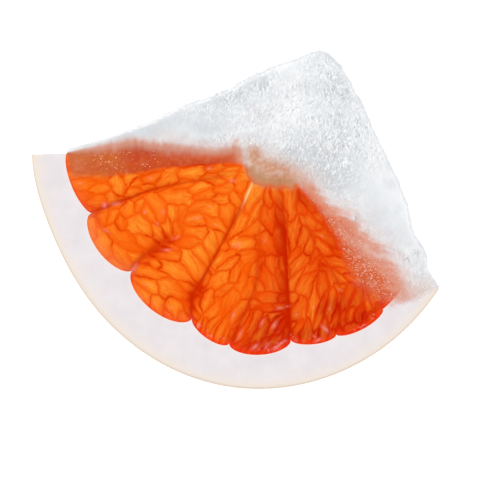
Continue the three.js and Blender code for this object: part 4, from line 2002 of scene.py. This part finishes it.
    def _row_shares(self, cut: Array) -> Array:
        """Shares of all rows, with two rows close together at the slice's cut edge.

        Args:
            cut: Share of the slice's cut edge in each column.

        Returns:
            Shares, rows by columns.
        """
        lap = np.linspace(0, 1, self.lap_rows)[:, None] * cut[None]
        after = np.minimum(cut + self.row_gap, 0.97)[None]
        beyond = np.linspace(0, 1, self.free_rows)[:, None]
        return np.concatenate([lap, after + (1 - after) * beyond])

    def _height(self, plan: Array, share: Array) -> Array:
        """Height of the ice's upper face.

        Args:
            plan: Plan points.
            share: 0 at the lap's border and 1 at the free outline.

        Returns:
            Heights in mm.
        """
        x, y = plan[..., 0] / self.crag_size, plan[..., 1] / self.crag_size
        grain = (smooth_noise(x, y, Noise.ICE_CRAGS)
                 + 0.6 * smooth_noise(2.3 * x, 2.3 * y, Noise.ICE_FINE_CRAGS))
        less, more = self.grain_turn
        along = less * plan[..., 0] + more * plan[..., 1]
        across = more * plan[..., 0] - less * plan[..., 1]
        chips = rough_noise(along / 3.2, across / 1.5, Noise.ICE_CHIPS, 3)
        fine = rough_noise(along / 1.3, across / 0.5, Noise.ICE_NEEDLES, 2)
        rough = ramp_up(0, 0.3, share)
        flat = (ramp_up(-7, -4, plan[..., 0]) * ramp_up(12, 9, plan[..., 0])
                + ramp_up(31, 34, plan[..., 0]))
        lift = self.lap_lift - self.thinning * flat * ramp_up(0.35, 0, share)
        return (self.plan.thickness + lift + self.rise * ramp_up(0, 0.5, share)
                - self.shoulder * ramp_up(0.9, 1, share) ** 2 + self.crag * grain * rough
                + (0.32 * chips + 0.14 * fine) * rough * self._frost(plan))

    def _frost(self, plan: Array) -> Array:
        """Strength of the crystal grain at plan points."""
        return np.clip(0.6 + sum(patch.weight(plan) for patch in self.grains), 0.08, 1)

    def _rings(self, top: Array, bottom: Array) -> list[Array]:
        """Craggy side rings between the two faces.

        Args:
            top: Upper grid.
            bottom: Lower grid.

        Returns:
            Rings from the top down.
        """
        loop = grid_loop(*top.shape[:2])
        high, low = top.reshape(-1, 3)[loop], bottom.reshape(-1, 3)[loop]
        rows = top.shape[0]
        row = loop // top.shape[1]
        tips = [np.array(self.outline_points[k]) for k in (0, -1)]
        near = np.min([np.linalg.norm(high[:, :2] - tip, axis=1) for tip in tips], axis=0)
        free = np.where(row == rows - 1, ramp_up(2, 10, near), 0.0)
        outward = outward_of(high)
        run = run_along(high[:, :2])
        rings = []
        for level in range(1, self.ring_count + 1):
            share = level / (self.ring_count + 1)
            ring = high * (1 - share) + low * share
            crags = (0.45 * rough_noise(run / 3.0, ring[:, 2] / 2.4, Noise.ICE_SIDES, 3)
                     + 0.5 * math.sin(math.pi * share) - self.lean * ramp_up(0.7, 1.0, share))
            ring[:, :2] += outward * (free * crags)[:, None]
            rings.append(ring)
        return rings

    def _values(self, plan: Array, share: Array, cut: Array) -> dict[str, Array]:
        """Opacity and colour values of the ice.

        Args:
            plan: Plan points.
            share: Shares from the border to the outline.
            cut: Share of the slice's cut edge in each column.

        Returns:
            Values for each point.
        """
        x, y = plan[..., 0], plan[..., 1]
        lap = np.clip(share / cut[None], 0, 1.8)
        left, right = ramp_up(*self.left_zone, x), ramp_up(*self.right_zone, x)
        middle = 1 - left - right
        inland, corner = ramp_up(*self.inland_zone, x), ramp_up(*self.corner_zone, x)
        feathers = 0.2 * right * rough_noise(x / 3.2, y / 0.8 + x / 3, Noise.LAP_FEATHERS, 3)
        uneven = lap + 0.12 * rough_noise(x / 1.6, y / 1.6, Noise.LAP_EDGE, 3) + feathers
        soft = lap + 0.06 * smooth_noise(x / 4, y / 4, Noise.LAP_SWELL)
        soft = soft + (0.05 + 0.05 * inland) * rough_noise(x / 0.9, y / 1.8, Noise.LAP_GRAIN, 2)
        clear = 0.75 * ramp_up(0, 0.28, soft) + 0.235 * ramp_up(0.5, 0.9, soft)
        frosty = 1 - np.exp(-np.maximum(uneven, 0) / (0.27 - 0.15 * corner))
        hazy = ramp_up(0.05, 0.45, uneven)
        veil = np.minimum(left * clear + right * frosty + middle * hazy, self.veil_limit)
        drawn = soft - 0.07 - 0.1 * bell(x + 31, 8) + 0.06 * bell(x + 13, 4)
        juice = left * np.maximum(1 - ramp_up(0.48 - 0.33 * inland, 1.2 + 0.3 * inland, drawn),
                                  0.18 * inland * (1 - ramp_up(1.1, 1.7, drawn)))
        near = 0.85 * (1 - ramp_up(0.0, 1.2 + 0.1 * ramp_up(19, 26, x), uneven))
        stain = right * (near + 0.15 * (1 - ramp_up(0.8, 1.9, uneven)))
        stain = stain * (1 - 0.85 * ramp_up(29, 41, x))
        stain = stain + right * patched(self.reds, plan)
        blotch = 0.75 + 0.6 * rough_noise(x / 1.2, y / 0.9, Noise.STAIN_BLOTCHES, 2)
        frost = self._frost(plan)
        cloud = 0.6 + 0.26 * rough_noise(x / 4, y / 4, Noise.ICE_CLOUDS, 4)
        cloud = cloud + sum(patch.weight(plan) for patch in self.clouds)
        values = {
            "veil": veil * ramp_up(0.0, 0.18 + 0.18 * right, lap),
            "frost": frost * (1 - 0.9 * juice) * (1 - 0.7 * stain),
            "cloud": np.clip(cloud, 0, 1),
            "edge": 0.22 * ramp_up(0.98, 1, share) * ramp_up(-28, -14, x),
            "juice": np.clip(juice + stain + patched(self.frosted_pinks, plan) * blotch, 0, 1),
            "brown": 1 - ramp_up(-38, -31, x),
            "right": right + 0 * x,
            "tan": np.clip(patched(self.tans, plan) * (0.35 * blotch + 0.65), 0, 1),
            "speck": patched(self.specks, plan),
            "sparkle": stain * ramp_up(0.15, 0.5, lap) * ramp_up(10, 24, x),
            "glow": patched(self.glows, plan),
            "grains": ramp_up(1.1, 1.4, lap) * ramp_up(0.25, 0.9, frost),
        }
        return {key: value.ravel() for key, value in values.items()}


@dataclass
class Scatter:
    """Small crystals spread over a surface by a Geometry Nodes tree.

    The count is for a square metre and the size in mm. A crystal's length lies in degrees at
    90 plus lean about Z, give or take the swing, and it tips out of the plan by up to the tilt.
    """

    name: str
    count: float
    size: float
    stretch: float
    seed: int
    lean: float = 0.0
    swing: float = 25.0
    tilt: float = 20.0

    def build(self, surface: bpy.types.Object, weight: str,
              material: bpy.types.Material) -> None:
        """Spreads the crystals as one plain mesh object.

        Args:
            surface: Object whose surface carries them.
            weight: Name of the point value that says where they are.
            material: Their material.
        """
        holder = bpy.data.objects.new(self.name, surface.data.copy())
        bpy.context.scene.collection.objects.link(holder)
        tree = self._tree(weight, material)
        modifier = holder.modifiers.new("scatter", "NODES")
        modifier.node_group = tree
        wanted = {"Density": self.count, "Size": self.size * MM, "Seed": self.seed}
        for socket in tree.interface.items_tree:
            if socket.item_type == "SOCKET" and socket.in_out == "INPUT" and socket.name in wanted:
                modifier[socket.identifier] = wanted[socket.name]
        graph = bpy.context.evaluated_depsgraph_get()
        mesh = bpy.data.meshes.new_from_object(holder.evaluated_get(graph))
        holder.modifiers.clear()
        holder.data = mesh
        mesh.name = self.name
        settle(holder, material, "ice")

    def _tree(self, weight: str, material: bpy.types.Material) -> bpy.types.NodeTree:
        """The node tree that spreads crystals.

        Args:
            weight: Name of the point value that says where they are.
            material: Their material.

        Returns:
            The tree.
        """
        tree = bpy.data.node_groups.new(self.name, "GeometryNodeTree")
        kinds = {"Geometry": "Geometry", "Density": "Float", "Size": "Float", "Seed": "Int"}
        for name, kind in kinds.items():
            tree.interface.new_socket(name, in_out="INPUT", socket_type=f"NodeSocket{kind}")
        tree.interface.new_socket("Geometry", in_out="OUTPUT", socket_type="NodeSocketGeometry")
        given = add_node(tree, "NodeGroupInput").outputs
        where = add_node(tree, "GeometryNodeInputNamedAttribute", {"Name": weight},
                         data_type="FLOAT")
        amount = add_node(tree, "ShaderNodeMath", {
            0: where.outputs["Attribute"], 1: given["Density"]}, operation="MULTIPLY")
        spread = add_node(tree, "GeometryNodeDistributePointsOnFaces", {
            "Mesh": given["Geometry"], "Density": amount.outputs[0], "Seed": given["Seed"]})
        grain = add_node(tree, "GeometryNodeMeshIcoSphere", {
            "Subdivisions": 1, "Radius": given["Size"]})
        tilt, lean, swing = (math.radians(angle)
                             for angle in (self.tilt, 90 + self.lean, self.swing))
        sizes = ((0.5 * self.stretch, 0.35, 0.25), (1.6 * self.stretch, 1.0, 0.5))
        turns = ((-tilt, -tilt, lean - swing), (tilt, tilt, lean + swing))
        draws = []
        for shift, (low, high) in enumerate((sizes, turns), 1):
            seed = add_node(tree, "FunctionNodeIntegerMath", {0: given["Seed"], 1: shift})
            draws.append(add_node(tree, "FunctionNodeRandomValue", {
                0: low, 1: high, "Seed": seed.outputs[0]}, data_type="FLOAT_VECTOR").outputs[0])
        place = add_node(tree, "GeometryNodeInstanceOnPoints", {
            "Points": spread.outputs["Points"], "Instance": grain.outputs["Mesh"],
            "Scale": draws[0], "Rotation": draws[1]})
        real = add_node(tree, "GeometryNodeRealizeInstances", {0: place.outputs[0]})
        paint = add_node(tree, "GeometryNodeSetMaterial", {
            "Geometry": real.outputs[0], "Material": material})
        add_node(tree, "NodeGroupOutput", {0: paint.outputs[0]})
        return tree


@dataclass
class Studio:
    """Pale floor, soft light and a camera straight above."""

    view_high: float = 125.0
    centre: tuple = (-3.625, -20.25)
    focus_level: float = 10.0
    lens: float = 120.0
    sensor: float = 24.0
    sky: float = 1.15
    sky_top: float = 0.8
    sky_fade: tuple = (0.75, 0.97)

    def build(self) -> None:
        """Builds the floor, the sky, the lamps and the camera."""
        self._floor()
        self._sky()
        self._lamp("key_light", (-0.5, 0.45, 0.6), size=0.7, watts=2.6)
        self._lamp("fill_light", (0.6, -0.3, 0.55), size=0.8, watts=1.4)
        self._camera()

    @staticmethod
    def _floor() -> None:
        """A wide pale floor."""
        mesh = bpy.data.meshes.new("floor")
        half, level = 3.0, -0.0001
        corners = [(-half, -half, level), (half, -half, level), (half, half, level),
                   (-half, half, level)]
        mesh.from_pydata(corners, [], [(0, 1, 2, 3)])
        mesh.materials.append(FloorFinish().build())
        floor = bpy.data.objects.new("floor", mesh)
        bpy.context.scene.collection.objects.link(floor)

    def _sky(self) -> None:
        """Soft light from all round, weaker straight above."""
        world = bpy.data.worlds.new("studio")
        world.use_nodes = True
        bpy.context.scene.world = world
        tree = world.node_tree
        where = add_node(tree, "ShaderNodeTexCoord")
        parts = add_node(tree, "ShaderNodeSeparateXYZ", {0: where.outputs["Generated"]})
        inputs = dict(enumerate((parts.outputs[2], *self.sky_fade, self.sky, self.sky_top)))
        level = add_node(tree, "ShaderNodeMapRange", inputs, interpolation_type="SMOOTHSTEP")
        feed(tree, tree.nodes["Background"], {
            "Strength": level.outputs[0], "Color": (1, 1, 1, 1)})

    @staticmethod
    def _lamp(name: str, place: tuple[float, float, float], size: float, watts: float) -> None:
        """A large soft lamp that points at the part.

        Args:
            name: Name of the lamp.
            place: Where it stands, in metres.
            size: Side of its square face in metres.
            watts: Its power.
        """
        data = bpy.data.lights.new(name, "AREA")
        data.size = size
        data.energy = watts
        lamp = bpy.data.objects.new(name, data)
        lamp.location = place
        aim = -lamp.location
        lamp.rotation_euler = aim.to_track_quat("-Z", "Y").to_euler()
        bpy.context.scene.collection.objects.link(lamp)

    def _camera(self) -> None:
        """The camera, straight above the slice."""
        data = bpy.data.cameras.new("camera")
        data.sensor_fit = "VERTICAL"
        data.sensor_height = self.sensor
        data.lens = self.lens
        data.clip_end = 10.0
        camera = bpy.data.objects.new("camera", data)
        away = self.view_high * self.lens / self.sensor
        camera.location = (self.centre[0] * MM, self.centre[1] * MM, (away + self.focus_level) * MM)
        bpy.context.scene.collection.objects.link(camera)
        bpy.context.scene.camera = camera


def main() -> None:
    """Builds the slice, the ice and the studio."""
    logging.basicConfig(level=logging.INFO, format="%(message)s")
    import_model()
    bpy.context.scene.view_settings.view_transform = "Standard"
    effects = Effects()
    low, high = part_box("slice")
    plan = SlicePlan(thickness=10.0)
    LOG.info("slice solid from %.1f to %.1f mm", low.z / MM, high.z / MM)
    Pulp(plan).build(PulpFinish().build(effects))
    pith = Pith(plan)
    pith.build(PithFinish().build(effects))
    Peel(plan, pith).build(PeelFinish().build(effects))
    Core(plan).build(CoreFinish().build(effects))
    ice = Ice(plan).build(IceFinish().build(effects))
    # Crystals on the ice and its laps; their light colours partly paint sparkle highlights.
    frost = CrystalFinish("frost_crystal", colour(250, 226, 216), colour(240, 196, 180))
    Scatter("frost_crystals", count=1.6e6, size=0.1, stretch=1.8, seed=31, lean=-72).build(
        ice, "sparkle", frost.build(effects))
    glow = CrystalFinish("juice_crystal", colour(255, 204, 160), colour(244, 150, 96))
    Scatter("juice_crystals", count=2.2e6, size=0.11, stretch=2.2, seed=41, lean=-60).build(
        ice, "glow", glow.build(effects))
    bright = CrystalFinish("ice_crystal", colour(255, 255, 255), colour(244, 247, 250))
    Scatter("ice_crystals", count=1.5e6, size=0.12, stretch=4.0, seed=51, swing=40).build(
        ice, "grains", bright.build(effects))
    Studio().build()


if __name__ == "__main__":
    main()
